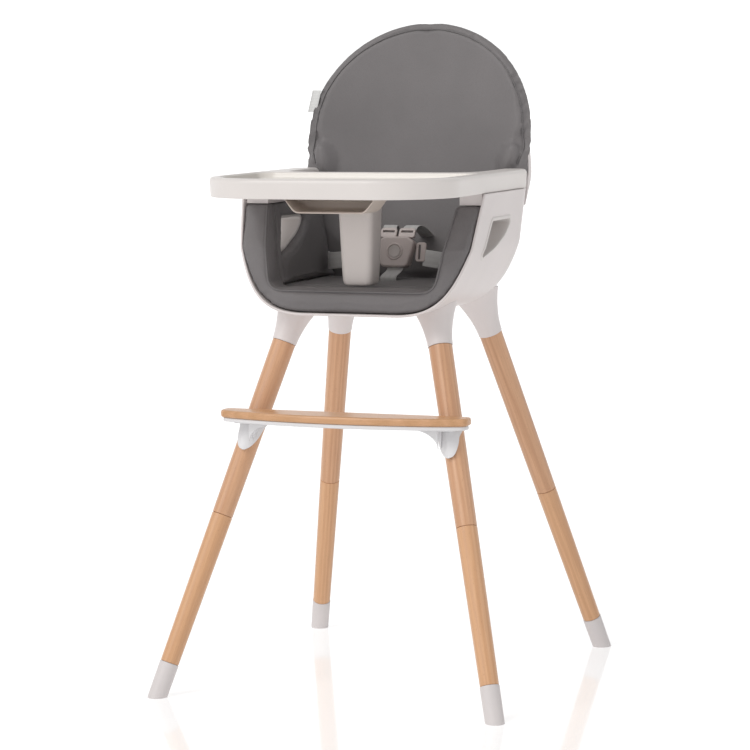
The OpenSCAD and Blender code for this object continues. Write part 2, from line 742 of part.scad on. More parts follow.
module rounded_rect(w, d, r) {
  polygon(rounded([[-w/2, -d/2], [w/2, -d/2], [w/2, d/2], [-w/2, d/2]], [r, r, r, r], 5));
}

// ---- Liner ---------------------------------------------------------------

lining = wall + liner_gap;

// Half the width between the side pads at height z
function well_hw(z) = well_foot_hw + (well_rim_hw - well_foot_hw)*(z - seat_pad_top)/(rim_z + 30 - seat_pad_top);

// The back pad's front face at x and z
function back_face_y(x, z) = back_mid_y + (z - rim_z)*back_lean - back_hollow_r + sqrt(pow(back_hollow_r, 2) - x*x);

// Space left between the side pads, as a front prism
module well(grow, y0, y1) {
  hw0 = well_foot_hw + grow;
  hw1 = well_rim_hw + grow;
  front_prism(rounded([[-hw0, seat_pad_top - grow], [hw0, seat_pad_top - grow], [hw1, rim_z + 30], [-hw1, rim_z + 30]],
    [18, 18, 0, 0], 5), y0, y1);
}

module liner_seat() {
  color("dimgray") intersection() {
    bucket_cavity(lining);
    pad_block(seat_h, seat_pad_top);
  }
}
back_pad_foot_y = rear_y - 34;

// Rear face of the front roll at height z
function roll_rear_y(z) = pad_front_y + front_lean/2*(z - seat_h)/(rail_z0 - seat_h);

// Block between the front roll and the back pad, from z0 to z1
module pad_block(z0, z1) {
  y1 = back_pad_foot_y - liner_gap;
  side_prism([[roll_rear_y(z0) + liner_gap, z0], [y1, z0], [y1, z1], [roll_rear_y(z1) + liner_gap, z1]],
    -rim_hw, rim_hw);
}

module liner_side(side) {
  color("dimgray") difference() {
    intersection() {
      bucket_cavity(lining);
      pad_block(seat_pad_top + liner_gap, rail_z0 - liner_gap);
      mirror_x(side) translate([0, front_y, seat_h]) cube([rim_hw, seat_depth, bucket_h]);
    }
    well(0, front_y - 20, rear_y + 20);
    mirror_x(side) side_opening(-liner_gap, 0, rim_hw + 30);
    bezel_boss(side, liner_gap);
    mirror_x(side) bezel_screw_hole(bezel_screw_d/2 + liner_gap);
  }
}

// Roll round the front opening, from rail to rail
module liner_front_roll() {
  color("dimgray") difference() {
    intersection() {
      bucket_cavity(lining);
      side_prism([[front_y + 0.6, seat_h], [roll_rear_y(seat_h), seat_h],
        [roll_rear_y(rail_z0 - liner_gap), rail_z0 - liner_gap], [rim_front_y - 4, rail_z0 - liner_gap],
        [front_y + 22, hip_z]], -rim_hw, rim_hw);
    }
    well(0, front_y - 20, rear_y + 20);
    for (side = [-1, 1]) mirror_x(side) side_opening(-liner_gap, 0, rim_hw + 30);
  }
}

// Back pad: fills the bucket's rear and the back shell, and laps over the shell's edge
module liner_back() {
  color("dimgray") difference() {
    union() {
      intersection() {
        bucket_cavity(lining);
        translate([-rim_hw, back_pad_foot_y, seat_h]) cube([2*rim_hw, seat_depth, bucket_h + liner_gap + eps]);
      }
      difference() {
        back_form_inner(lining);
        translate([-300, back_front_y - 50, rim_z - 100]) cube([600, 400, 100 + liner_gap]);
      }
      intersection() {
        front_prism(mirrored(dome_half(back_w/2, back_w/2 - 8, 5, rim_z + liner_gap, back_top_z)),
          back_front_y - 20, bulge_y + 40);
        back_hollow(back_edge_shift - liner_gap, back_hollow_r);
      }
    }
    back_hollow(0, back_hollow_r);
    // keep the wings behind the rails and the tray arms
    for (side = [-1, 1]) mirror_x(side) translate([arm_in_x - 6, back_front_y - 40, rail_z0 - 1])
      cube([80, arm_y1 + 2.5 - back_front_y + 40, tray_z1 - rail_z0 + 4]);
    for (x = shell_screw_x) translate([x, rim_rear_y - wall - 6, shell_screw_z]) rotate([-90, 0, 0])
      cylinder(h = 8, r = shell_screw_d + liner_gap, $fn = 24);
  }
}

tag_w = 10;
tag_h = 34;
tag_z = rim_z + 127;

module liner_tag() {
  foot_z = tag_z - tag_h/2 + 2;
  edge_x = back_w/2*cos(asin((foot_z - dome_spring_z)/(back_top_z - dome_spring_z)));
  color("white") translate([-edge_x - tag_w - liner_gap, back_face_y(edge_x, tag_z) + 8, tag_z - tag_h/2])
    cube([tag_w, 1, tag_h]);
}

// ---- Harness -------------------------------------------------------------

// A ribbon standing on edge that follows plan points
module ribbon(pts, z0, w) {
  n = len(pts);
  d = [for (i = [0:n - 1]) unit(pts[min(i + 1, n - 1)] - pts[max(i - 1, 0)])];
  left = [for (i = [0:n - 1]) pts[i] + web_t/2*[-d[i][1], d[i][0]]];
  right = [for (i = [n - 1:-1:0]) pts[i] - web_t/2*[-d[i][1], d[i][0]]];
  translate([0, 0, z0]) linear_extrude(w) polygon(concat(left, right));
}

module waist_strap(side) {
  z0 = seat_pad_top + 10;
  a = [side*(well_hw(z0) - web_t/2 - liner_gap), back_pad_foot_y - 20];
  b = [side*(buckle_w/2 + 1.5) + buckle_x, buckle_y + 2];
  color("silver") ribbon(bez(a, a + [-side*14, -34], b + [side*30, -14], b, 8), z0, web_w);
}

module shoulder_strap(side) {
  top = [back_face_y(buckle_x + web_w, harness_slot_z) - liner_gap, harness_slot_z];
  foot = [buckle_y + 9, buckle_z + buckle_h/2 + 1.5];
  pts = bez(top, top + [-14, 0], foot + [-6, 22], foot, 8);
  n = len(pts);
  d = [for (i = [0:n - 1]) unit(pts[min(i + 1, n - 1)] - pts[max(i - 1, 0)])];
  left = [for (i = [0:n - 1]) pts[i] + web_t/2*[-d[i][1], d[i][0]]];
  right = [for (i = [n - 1:-1:0]) pts[i] - web_t/2*[-d[i][1], d[i][0]]];
  x0 = buckle_x + side*(web_w/2 + 2) - web_w/2;
  color("silver") side_prism(concat(left, right), x0, x0 + web_w);
}

module crotch_strap() {
  foot = [buckle_y - 34, seat_pad_top + liner_gap];
  top = [buckle_y - buckle_h/2*sin(buckle_tilt), buckle_z - buckle_h/2*cos(buckle_tilt) - 1];
  color("silver") side_prism([foot, foot + [web_t, 0], top + [web_t, 0], top],
    buckle_x - web_w/2, buckle_x + web_w/2);
}

module on_buckle() {
  translate([buckle_x, buckle_y, buckle_z]) rotate([-buckle_tilt, 0, 0]) children();
}

module buckle_body() {
  color("rosybrown") difference() {
    on_buckle() rotate([90, 0, 0]) translate([0, 0, -buckle_t/2]) linear_extrude(buckle_t)
      polygon(rounded([[-buckle_w/2 + 9, -buckle_h/2], [buckle_w/2 - 9, -buckle_h/2],
        [buckle_w/2, buckle_h/2 - 8], [buckle_w/2 - 12, buckle_h/2], [-buckle_w/2 + 12, buckle_h/2],
        [-buckle_w/2, buckle_h/2 - 8]], [7, 7, 6, 6, 6, 6], 4));
    on_buckle() rotate([90, 0, 0]) translate([0, 0, -3]) cylinder(h = 20, r = button_d/2 + 0.4);
  }
}

module buckle_button() {
  color("silver") on_buckle() rotate([90, 0, 0]) translate([0, 0, 0.5]) cylinder(h = 10, r = button_d/2);
}

// ---- Assembly ------------------------------------------------------------

seat_shell();
back_shell();
rail(-1);  // rail_left
rail(1);  // rail_right
bezel(-1);  // bezel_left
bezel(1);  // bezel_right
bezel_screws();
leg_socket(FL);  // leg_socket_fl
leg_socket(FR);  // leg_socket_fr
leg_socket(RL);  // leg_socket_rl
leg_socket(RR);  // leg_socket_rr
upper_leg(FL);  // upper_leg_fl
upper_leg(FR);  // upper_leg_fr
upper_leg(RL);  // upper_leg_rl
upper_leg(RR);  // upper_leg_rr
lower_leg(FL);  // lower_leg_fl
lower_leg(FR);  // lower_leg_fr
lower_leg(RL);  // lower_leg_rl
lower_leg(RR);  // lower_leg_rr
foot_cap(FL);  // foot_cap_fl
foot_cap(FR);  // foot_cap_fr
foot_cap(RL);  // foot_cap_rl
foot_cap(RR);  // foot_cap_rr
leg_top_bolts();
leg_joint_studs();
footrest_board();
footrest_frame();
footrest_bracket(-1);  // footrest_bracket_left
footrest_bracket(1);  // footrest_bracket_right
footrest_bolts();
tray_body();
tray_insert();
tray_bottom_cover();
release_handle();
latch(-1);  // latch_left
latch(1);  // latch_right
crotch_post();
liner_back();
liner_seat();
liner_side(-1);  // liner_side_left
liner_side(1);  // liner_side_right
liner_front_roll();
liner_tag();
waist_strap(-1);  // waist_strap_left
waist_strap(1);  // waist_strap_right
shoulder_strap(-1);  // shoulder_strap_left
shoulder_strap(1);  // shoulder_strap_right
crotch_strap();
buckle_body();
buckle_button();
shell_screws();
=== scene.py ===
# %% [markdown]
# # A baby high chair around its CAD frame
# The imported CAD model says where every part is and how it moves. This lesson
# dresses it: smooth mouldings, turned beech legs, a stuffed leatherette liner
# and a woven harness. Work is done in millimetres and scaled to metres once,
# when a piece is finished.

# %% Load the frame
import math

import bmesh
import bpy
import numpy as np
from mathutils import Matrix, Vector
from mathutils.bvhtree import BVHTree
from mathutils.kdtree import KDTree


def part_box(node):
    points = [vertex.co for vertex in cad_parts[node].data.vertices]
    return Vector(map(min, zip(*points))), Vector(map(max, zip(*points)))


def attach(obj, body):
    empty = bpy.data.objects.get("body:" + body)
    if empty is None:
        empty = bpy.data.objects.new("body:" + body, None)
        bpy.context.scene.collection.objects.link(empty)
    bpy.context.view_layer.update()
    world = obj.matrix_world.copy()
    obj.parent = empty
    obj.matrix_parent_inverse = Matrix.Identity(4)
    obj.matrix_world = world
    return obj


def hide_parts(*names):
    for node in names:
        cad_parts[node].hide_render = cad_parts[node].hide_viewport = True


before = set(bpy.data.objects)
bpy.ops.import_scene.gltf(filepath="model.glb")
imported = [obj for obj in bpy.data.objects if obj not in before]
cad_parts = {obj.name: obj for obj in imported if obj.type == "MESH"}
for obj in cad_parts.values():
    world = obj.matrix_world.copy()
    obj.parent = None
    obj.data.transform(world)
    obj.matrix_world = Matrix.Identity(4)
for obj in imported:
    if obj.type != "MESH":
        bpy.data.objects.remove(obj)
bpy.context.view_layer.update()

# %% [markdown]
# ## Camera
# The camera comes first, because it decides how large each detail will look.
# A long lens from a low place keeps the legs nearly straight and shows the
# chair from its front right corner.

# %% Camera
CAMERA_AT = Vector((1.5847, -4.0272, 0.9183))
CAMERA_RIGHT = Vector((0.9291, 0.3697, -0.0103))
CAMERA_UP = Vector((-0.0306, 0.1048, 0.9940))


def place_camera():
    lens = bpy.data.cameras.new("camera")
    lens.lens, lens.sensor_width = 141.85, 36
    lens.clip_end = 200
    camera = bpy.data.objects.new("camera", lens)
    right = CAMERA_RIGHT.normalized()
    back = right.cross(CAMERA_UP).normalized()
    up = back.cross(right)
    turn = Matrix((right, up, back)).transposed().to_4x4()
    camera.matrix_world = Matrix.Translation(CAMERA_AT) @ turn
    bpy.context.scene.collection.objects.link(camera)
    bpy.context.scene.camera = camera
    return camera


place_camera()

# %% [markdown]
# ## Light and floor
# A studio sweep is a white floor that runs out of sight. One broad lamp stands
# in front on the left for the modelling of the forms, a weaker one fills the
# right, and the sky is an even white that also shows behind the chair.

# %% Floor, sky and lamps
def build_stage():
    bm = bmesh.new()
    bmesh.ops.create_grid(bm, x_segments=2, y_segments=2, size=60)
    mesh = bpy.data.meshes.new("floor")
    bm.to_mesh(mesh)
    bm.free()
    floor = bpy.data.objects.new("floor", mesh)
    bpy.context.scene.collection.objects.link(floor)
    paint = bpy.data.materials.new("studio_floor")
    paint.use_nodes = True
    shader = paint.node_tree.nodes["Principled BSDF"]
    shader.inputs["Base Color"].default_value = (0.74, 0.74, 0.74, 1)
    shader.inputs["Roughness"].default_value = 0.09
    shader.inputs["Specular IOR Level"].default_value = 0.25
    shader.inputs["Emission Color"].default_value = (1, 1, 1, 1)
    shader.inputs["Emission Strength"].default_value = 0.40
    mesh.materials.append(paint)
    return floor


def lamp(name, kind, power, place, aim, size=1.0, tint=(1, 1, 1)):
    light = bpy.data.lights.new(name, kind)
    light.energy = power
    light.color = tint
    if kind == "SUN":
        light.angle = math.radians(size)
    else:
        light.shape, light.size, light.size_y = "RECTANGLE", size, size
    lamp_object = bpy.data.objects.new(name, light)
    turned = (Vector(aim) - Vector(place)).to_track_quat("-Z", "Y").to_matrix().to_4x4()
    lamp_object.matrix_world = Matrix.Translation(place) @ turned
    bpy.context.scene.collection.objects.link(lamp_object)
    return lamp_object


build_stage()
lamp("key", "SUN", 1.12, (-1.6, -3.2, 4.2), (0, 0, 0.5), size=34, tint=(1.0, 0.985, 0.965))
lamp("front_panel", "AREA", 9, (-1.4, -2.6, 1.5), (0, 0, 0.75), size=1.5)
lamp("right_fill", "AREA", 5, (2.6, -0.8, 1.3), (0, 0, 0.7), size=1.6)
world = bpy.data.worlds.new("studio")
world.use_nodes = True
world.node_tree.nodes["Background"].inputs["Color"].default_value = (1, 1, 1, 1)
world.node_tree.nodes["Background"].inputs["Strength"].default_value = 0.46
bpy.context.scene.world = world


def white_behind():
    # the sweep behind the chair, seen or mirrored, is brighter than the light it gives
    tree = world.node_tree
    path = tree.nodes.new("ShaderNodeLightPath")
    sky = tree.nodes.new("ShaderNodeBackground")
    sky.inputs["Color"].default_value = (1, 1, 1, 1)
    sky.inputs["Strength"].default_value = 1.1
    either = tree.nodes.new("ShaderNodeMath")
    either.operation = "MAXIMUM"
    tree.links.new(path.outputs["Is Camera Ray"], either.inputs[0])
    tree.links.new(path.outputs["Is Glossy Ray"], either.inputs[1])
    mix = tree.nodes.new("ShaderNodeMixShader")
    tree.links.new(either.outputs[0], mix.inputs["Fac"])
    tree.links.new(tree.nodes["Background"].outputs[0], mix.inputs[1])
    tree.links.new(sky.outputs[0], mix.inputs[2])
    tree.links.new(mix.outputs[0], tree.nodes["World Output"].inputs["Surface"])


white_behind()
bpy.context.scene.view_settings.view_transform = "Standard"

# %% [markdown]
# ## Measures taken from the frame
# Everything new is placed from the CAD boxes, so a change in the CAD moves the
# dressing with it. Curves that a box can't tell, such as the roundness of the
# bucket, are repeated here as numbers.

# %% Measures
MM = 0.001


def box_mm(node):
    low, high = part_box(node)
    return low / MM, high / MM


SEAT_LOW, SEAT_HIGH = box_mm("seat_shell")
RIM_Z, UNDER_Z, RIM_HALF = SEAT_HIGH.z, SEAT_LOW.z, SEAT_HIGH.x
FRONT_Y, REAR_Y = SEAT_LOW.y, SEAT_HIGH.y - 3
HIP_HALF, HIP_Z, FLAT_HALF, WALL = RIM_HALF - 9, UNDER_Z + 95, 70, 3.5
RIM_FRONT_Y = FRONT_Y + 58
TRAY_LOW, TRAY_HIGH = box_mm("tray_body")
print("rim", round(RIM_Z, 1), "front", round(FRONT_Y, 1), "tray", [round(c, 1) for c in TRAY_LOW])


def bez(a, b, c, d, t):
    a, b, c, d = (np.array(p, float) for p in (a, b, c, d))
    return a * (1 - t) ** 3 + 3 * b * t * (1 - t) ** 2 + 3 * c * t * t * (1 - t) + d * t**3


def bez_points(a, b, c, d, n):
    return [bez(a, b, c, d, i / n) for i in range(n + 1)]


def ease(t):
    t = min(max(t, 0.0), 1.0)
    return t * t * (3 - 2 * t)


# %% [markdown]
# ## Two ways of making a form
# `skin` stretches a grid over a curved form: a grid is made, each point is put
# in its place, and edges that meet are welded. `turn` spins a profile round an
# axis, as a lathe does. `prism` raises an outline and rounds its edges. All
# three leave an ordinary bmesh that further operators can work on.

# %% Form helpers
def tidy(bm, weld=0.01):
    bmesh.ops.remove_doubles(bm, verts=bm.verts, dist=weld)
    bmesh.ops.dissolve_degenerate(bm, edges=bm.edges, dist=weld)
    bmesh.ops.recalc_face_normals(bm, faces=bm.faces)
    return bm


def skin(us, vs, place, close=False, weave=None):
    # weave: the sheet's real size in metres, kept as a UV map before the points move
    bm = bmesh.new()
    bmesh.ops.create_grid(bm, x_segments=us, y_segments=vs, size=0.5)
    if weave:
        layer = bm.loops.layers.uv.new("weave")
        for loop in (l for f in bm.faces for l in f.loops):
            loop[layer].uv = ((loop.vert.co.y + 0.5) * weave[1], (loop.vert.co.x + 0.5) * weave[0])
    for v in bm.verts:
        v.co = place(v.co.x + 0.5, v.co.y + 0.5)
    bmesh.ops.remove_doubles(bm, verts=bm.verts, dist=0.01)
    if close:
        bmesh.ops.holes_fill(bm, edges=bm.edges, sides=0)
    bmesh.ops.recalc_face_normals(bm, faces=bm.faces)
    return bm


def turn(profile, steps=48):
    # profile: (radius, height) pairs from one end of the axis to the other
    bm = bmesh.new()
    verts = [bm.verts.new((r, 0, h)) for r, h in profile]
    edges = [bm.edges.new(pair) for pair in zip(verts, verts[1:])]
    bmesh.ops.spin(bm, geom=verts + edges, cent=(0, 0, 0), axis=(0, 0, 1), angle=math.tau,
                   steps=steps, use_merge=True, use_normal_flip=False)
    return tidy(bm)


def prism(outline, low, high, soft=0.0, segments=3, axis="z"):
    # an outline of (a, b) pairs raised between two heights, its rims rounded
    lay = {"z": lambda a, b, h: (a, b, h), "y": lambda a, b, h: (a, h, b), "x": lambda a, b,
           h: (h, a, b)}[axis]
    bm = bmesh.new()
    face = bm.faces.new([bm.verts.new(lay(a, b, low)) for a, b in outline])
    top = bmesh.ops.extrude_face_region(bm, geom=[face])["geom"]
    step = Vector(lay(0, 0, high - low))
    bmesh.ops.translate(bm, vec=step, verts=[g for g in top if isinstance(g, bmesh.types.BMVert)])
    tidy(bm)
    if soft:
        rims = [e for e in bm.edges if e.calc_face_angle(0) > math.radians(50)
                and abs((e.verts[0].co - e.verts[1].co).normalized().dot(step.normalized())) < 0.5]
        bmesh.ops.bevel(bm, geom=rims, offset=soft, offset_type="OFFSET", segments=segments,
                        profile=0.5, affect="EDGES", material=-1, clamp_overlap=True)
    return bm


def corner(a, b, c, radius, n=6):
    a, b, c = (np.array(p, float) for p in (a, b, c))
    if radius <= 0:
        return [b]
    u, w = (a - b) / np.linalg.norm(a - b), (c - b) / np.linalg.norm(c - b)
    half = math.acos(max(-1, min(1, float(u @ w)))) / 2
    centre = b + (u + w) / np.linalg.norm(u + w) * radius / math.sin(half)
    p, q = b + u * radius / math.tan(half), b + w * radius / math.tan(half)
    a0 = math.atan2(*(p - centre)[::-1])
    sweep = (math.atan2(*(q - centre)[::-1]) - a0 + math.pi * 3) % math.tau - math.pi
    return [centre + radius * np.array((math.cos(a0 + sweep * i / n), math.sin(a0 + sweep * i / n)))
            for i in range(n + 1)]


def rounded(points, radii, n=6):
    k = len(points)
    return [p for i in range(k) for p in corner(points[i - 1], points[i], points[(i + 1) % k], radii[i], n)]


def even(points, count, closed=False):
    # the same line with evenly spaced points
    pts = np.array(list(points) + ([points[0]] if closed else []), float)
    run = np.concatenate(([0], np.cumsum(np.linalg.norm(np.diff(pts, axis=0), axis=1))))
    at = np.linspace(0, run[-1], count + 1 if closed else count)
    out = np.stack([np.interp(at, run, pts[:, k]) for k in range(pts.shape[1])], 1)
    return out[:-1] if closed else out


# %% [markdown]
# ## Finishing a piece
# A finished piece has its mesh in metres, its object at the origin, smooth shading that stays crisp at real edges, a
# material and a body to ride on, and the CAD node it stands for is hidden.

# %% Piece helpers
def piece(name, bm, finish, body, stands_for=(), crisp=38, weighted=True):
    bmesh.ops.scale(bm, vec=(MM, MM, MM), verts=bm.verts)
    mesh = bpy.data.meshes.new(name)
    bm.to_mesh(mesh)
    bm.free()
    mesh.shade_smooth()
    mesh.set_sharp_from_angle(angle=math.radians(crisp))
    mesh.materials.append(finish)
    obj = bpy.data.objects.new(name, mesh)
    bpy.context.scene.collection.objects.link(obj)
    if weighted:
        obj.modifiers.new("even_shading", "WEIGHTED_NORMAL").keep_sharp = True
    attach(obj, body)
    if stands_for:
        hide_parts(*([stands_for] if isinstance(stands_for, str) else stands_for))
    print(f"{name}: {len(mesh.polygons)} faces")
    return obj


def freeze(obj):
    # the modifiers' result becomes the mesh
    bpy.context.view_layer.update()
    graph = bpy.context.evaluated_depsgraph_get()
    mesh = bpy.data.meshes.new_from_object(obj.evaluated_get(graph), depsgraph=graph)
    obj.modifiers.clear()
    old, obj.data = obj.data, mesh
    name = old.name
    bpy.data.meshes.remove(old)
    mesh.name = name
    return obj


def taken(obj):
    # the object's mesh in millimetres, for piece() to finish; the object itself goes
    done = bmesh.new()
    done.from_mesh(obj.data)
    bmesh.ops.scale(done, vec=(1 / MM,) * 3, verts=done.verts)
    bpy.data.objects.remove(obj)
    return done


def loose(name, bm, scale=MM):
    bmesh.ops.scale(bm, vec=(scale, scale, scale), verts=bm.verts)
    mesh = bpy.data.meshes.new(name)
    bm.to_mesh(mesh)
    bm.free()
    obj = bpy.data.objects.new(name, mesh)
    bpy.context.scene.collection.objects.link(obj)
    return obj


def cut(obj, *cutters, keep_cutters=False):
    # takes each cutter's space out of obj
    for cutter in cutters:
        knife = obj.modifiers.new("cut", "BOOLEAN")
        knife.operation, knife.solver, knife.object = "DIFFERENCE", "EXACT", cutter
    freeze(obj)
    obj.data.shade_smooth()
    obj.data.set_sharp_from_angle(angle=math.radians(35))
    if not keep_cutters:
        for cutter in cutters:
            bpy.data.objects.remove(cutter)
    return obj


# %% [markdown]
# ## Finishes
# A finish is a small net of nodes over the object's own coordinates, in metres.
# Every one changes colour a little, changes gloss a little and has a bump at
# the scale of the real surface.

# %% Node helpers
def new_finish(name, colour, roughness, **sockets):
    finish = bpy.data.materials.new(name)
    finish.use_nodes = True
    tree = finish.node_tree
    shader = tree.nodes["Principled BSDF"]
    shader.inputs["Base Color"].default_value = (*colour, 1)
    shader.inputs["Roughness"].default_value = roughness
    for key, value in sockets.items():
        shader.inputs[key.replace("_", " ")].default_value = value
    return finish, tree, shader


def add(tree, kind, links=(), **settings):
    node = tree.nodes.new("ShaderNode" + kind)
    for key, value in settings.items():
        if hasattr(node, key):
            setattr(node, key, value)
        else:
            node.inputs[key.replace("_", " ")].default_value = value
    for socket, source in dict(links).items():
        tree.links.new(source, node.inputs[socket])
    return node


def place_on(tree, scale=(1, 1, 1), attribute=None):
    if attribute:
        source = add(tree, "Attribute", attribute_name=attribute).outputs["Vector"]
    else:
        source = add(tree, "TexCoord").outputs["Object"]
    return add(tree, "Mapping", {"Vector": source}, Scale=scale).outputs["Vector"]


def noise(tree, where, scale, detail=3.0, rough=0.5, distort=0.0):
    node = add(tree, "TexNoise", {"Vector": where}, Scale=scale, Detail=detail, Roughness=rough,
               Distortion=distort)
    return node.outputs["Fac"]


def ramp(tree, factor, *stops):
    node = add(tree, "ValToRGB", {"Fac": factor})
    band = node.color_ramp
    while len(band.elements) < len(stops):
        band.elements.new(0.5)
    for element, (at, colour) in zip(band.elements, stops):
        element.position = at
        element.color = (*colour, 1) if hasattr(colour, "__len__") else (colour, colour, colour, 1)
    return node.outputs["Color"]


def blend_colour(tree, factor, a, b, mode="MIX"):
    node = tree.nodes.new("ShaderNodeMix")
    node.data_type, node.blend_type = "RGBA", mode
    for socket, value in ((node.inputs[0], factor), (node.inputs[6], a), (node.inputs[7], b)):
        if isinstance(value, bpy.types.NodeSocket):
            tree.links.new(value, socket)
        else:
            socket.default_value = (*value, 1) if hasattr(value, "__len__") else value
    return node.outputs[2]


def spread(tree, factor, low, high):
    return add(tree, "MapRange", {"Value": factor}, **{"To_Min": low, "To_Max": high}).outputs["Result"]


def bump(tree, shader, height, strength, distance):
    last = shader.inputs["Normal"].links[0].from_socket if shader.inputs["Normal"].links else None
    node = add(tree, "Bump", {"Height": height}, Strength=strength, Distance=distance)
    if last:
        tree.links.new(last, node.inputs["Normal"])
    tree.links.new(node.outputs["Normal"], shader.inputs["Normal"])


# %% [markdown]
# ### Moulded plastic
# Satin polypropylene has a faint spark-eroded grain from the mould, and years
# of wiping polish it unevenly, which shows in the gloss and not in the colour.

# %% Plastics
def plastic(name, colour, roughness=0.42, grain=0.05, tone=0.03, **sockets):
    finish, tree, shader = new_finish(name, colour, roughness, **sockets)
    where = place_on(tree)
    cloud = noise(tree, where, 7, 4)
    darker = tuple(c * (1 - tone * 2) for c in colour)
    tree.links.new(ramp(tree, cloud, (0.3, darker), (0.7, colour)), shader.inputs["Base Color"])
    wiped = noise(tree, where, 22, 5, 0.6, 0.4)
    tree.links.new(spread(tree, wiped, roughness - 0.07, roughness + 0.09), shader.inputs["Roughness"])
    bump(tree, shader, noise(tree, where, 1500, 2), grain, 0.0002)
    bump(tree, shader, noise(tree, where, 26, 2), 0.03, 0.001)
    return finish


SHELL_WHITE = plastic("shell_plastic", (0.74, 0.685, 0.675), 0.40)
TRAY_WHITE = plastic("tray_plastic", (0.76, 0.715, 0.69), 0.33, grain=0.03)
INSERT_CREAM = plastic("insert_plastic", (0.84, 0.80, 0.75), 0.20, grain=0.015, tone=0.015)
# the handle's beige is darkened with painted shade for the shadow inside its cup; the latches share it
HANDLE_BEIGE_PAINTED_SHADE = plastic("handle_plastic_painted_shade", (0.58, 0.505, 0.45), 0.42)
# the crotch post's white is darkened with painted shade for the shadow under the tray
POST_WHITE_PAINTED_SHADE = plastic("post_plastic_painted_shade", (0.66, 0.605, 0.58), 0.38)
BEZEL_GREY = plastic("bezel_plastic", (0.72, 0.68, 0.66), 0.46)
CAP_GREY = plastic("cap_plastic", (0.70, 0.655, 0.65), 0.45)
BUCKLE_GREY = plastic("buckle_plastic", (0.50, 0.43, 0.41), 0.40)
BUTTON_GREY = plastic("button_plastic", (0.47, 0.42, 0.40), 0.42)
FRAME_WHITE = plastic("footrest_plastic", (0.76, 0.75, 0.76), 0.42)

# %% [markdown]
# ### Lacquered beech
# Beech is a close, pale, pinkish wood. Its growth bands run along the leg as
# long, low-contrast stripes, and it is covered with short dark flecks a
# millimetre or two long. The pattern has to follow each splayed leg, so it
# reads a `grain` attribute: the point's place along and across its own leg.

# %% Beech
def beech(name, pale, deep, stretch=1.0):
    finish, tree, shader = new_finish(name, pale, 0.36, Coat_Weight=0.22, Coat_Roughness=0.25)
    # grain is in metres: x and y across, z along the piece
    across = place_on(tree, (1, 1, 0.045 * stretch), "grain")
    wander = noise(tree, place_on(tree, (1, 1, 0.12), "grain"), 30, 3)
    bands = add(tree, "TexWave", {"Vector": across}, wave_type="BANDS", bands_direction="X",
                Scale=46, Distortion=5.5, Detail=3.0, Detail_Scale=1.6).outputs["Fac"]
    fibre = noise(tree, place_on(tree, (1, 1, 0.02), "grain"), 900, 4, 0.6)
    fleck = noise(tree, place_on(tree, (1, 1, 0.22), "grain"), 1300, 2, 0.5)
    tone = ramp(tree, bands, (0.0, deep), (0.55, tuple((a + b) / 2 for a, b in zip(pale, deep))),
                (1.0, pale))
    tone = blend_colour(tree, spread(tree, wander, 0.1, 0.8), tone, pale)
    tone = blend_colour(tree, ramp(tree, fibre, (0.35, 0.30), (0.6, 0.0)), tone,
                        tuple(c * 0.80 for c in deep))
    tone = blend_colour(tree, ramp(tree, fleck, (0.24, 0.55), (0.36, 0.0)), tone,
                        tuple(c * 0.55 for c in deep))
    tree.links.new(tone, shader.inputs["Base Color"])
    tree.links.new(spread(tree, fibre, 0.30, 0.46), shader.inputs["Roughness"])
    bump(tree, shader, fibre, 0.10, 0.0002)
    bump(tree, shader, fleck, 0.05, 0.0002)
    return finish


BEECH_UPPER = beech("beech_upper", (0.67, 0.385, 0.222), (0.52, 0.265, 0.140))
BEECH_LOWER = beech("beech_lower", (0.70, 0.40, 0.215), (0.57, 0.295, 0.145))
BEECH_BOARD = beech("beech_board", (0.64, 0.355, 0.185), (0.50, 0.265, 0.115), 0.6)


# %% [markdown]
# ### Leatherette
# The liner is polyurethane on a knit: dull, finely pebbled, with slight puckers
# where the foam below gives. A cell pattern makes the pebbles, and a coarser
# noise makes the puckers.

# %% Leatherette
def leatherette(name, colour, roughness=0.52):
    finish, tree, shader = new_finish(name, colour, roughness, Specular_IOR_Level=0.42,
                                      Sheen_Weight=0.06, Sheen_Roughness=0.5)
    where = place_on(tree)
    pebble = add(tree, "TexVoronoi", {"Vector": where}, feature="DISTANCE_TO_EDGE",
                 Scale=720).outputs["Distance"]
    cloud = noise(tree, where, 9, 4)
    fine = noise(tree, where, 420, 4, 0.6)
    darker, lighter = tuple(c * 0.90 for c in colour), tuple(c * 1.07 for c in colour)
    tone = ramp(tree, cloud, (0.32, darker), (0.68, lighter))
    # the grooves between the pebbles are darkened: painted shade
    tone = blend_colour(tree, ramp(tree, pebble, (0.0, 0.35), (0.12, 0.0)), tone,
                        tuple(c * 0.6 for c in colour))
    tree.links.new(tone, shader.inputs["Base Color"])
    tree.links.new(spread(tree, fine, roughness - 0.08, roughness + 0.1), shader.inputs["Roughness"])
    bump(tree, shader, ramp(tree, pebble, (0.0, 0.0), (0.25, 1.0)), 0.16, 0.0002)
    bump(tree, shader, fine, 0.06, 0.0003)
    bump(tree, shader, noise(tree, where, 34, 3, 0.5, 0.6), 0.05, 0.002)
    return finish


LEATHER = leatherette("liner_leatherette", (0.172, 0.160, 0.162))
PIPING = leatherette("piping_leatherette", (0.15, 0.14, 0.142), 0.48)


# %% [markdown]
# ### Webbing, label and steel
# Webbing is a flat weave with ribs across it and two bound edges. Its pattern
# has to turn with the strap, so it reads the strap's own UV map, in metres
# along and across.

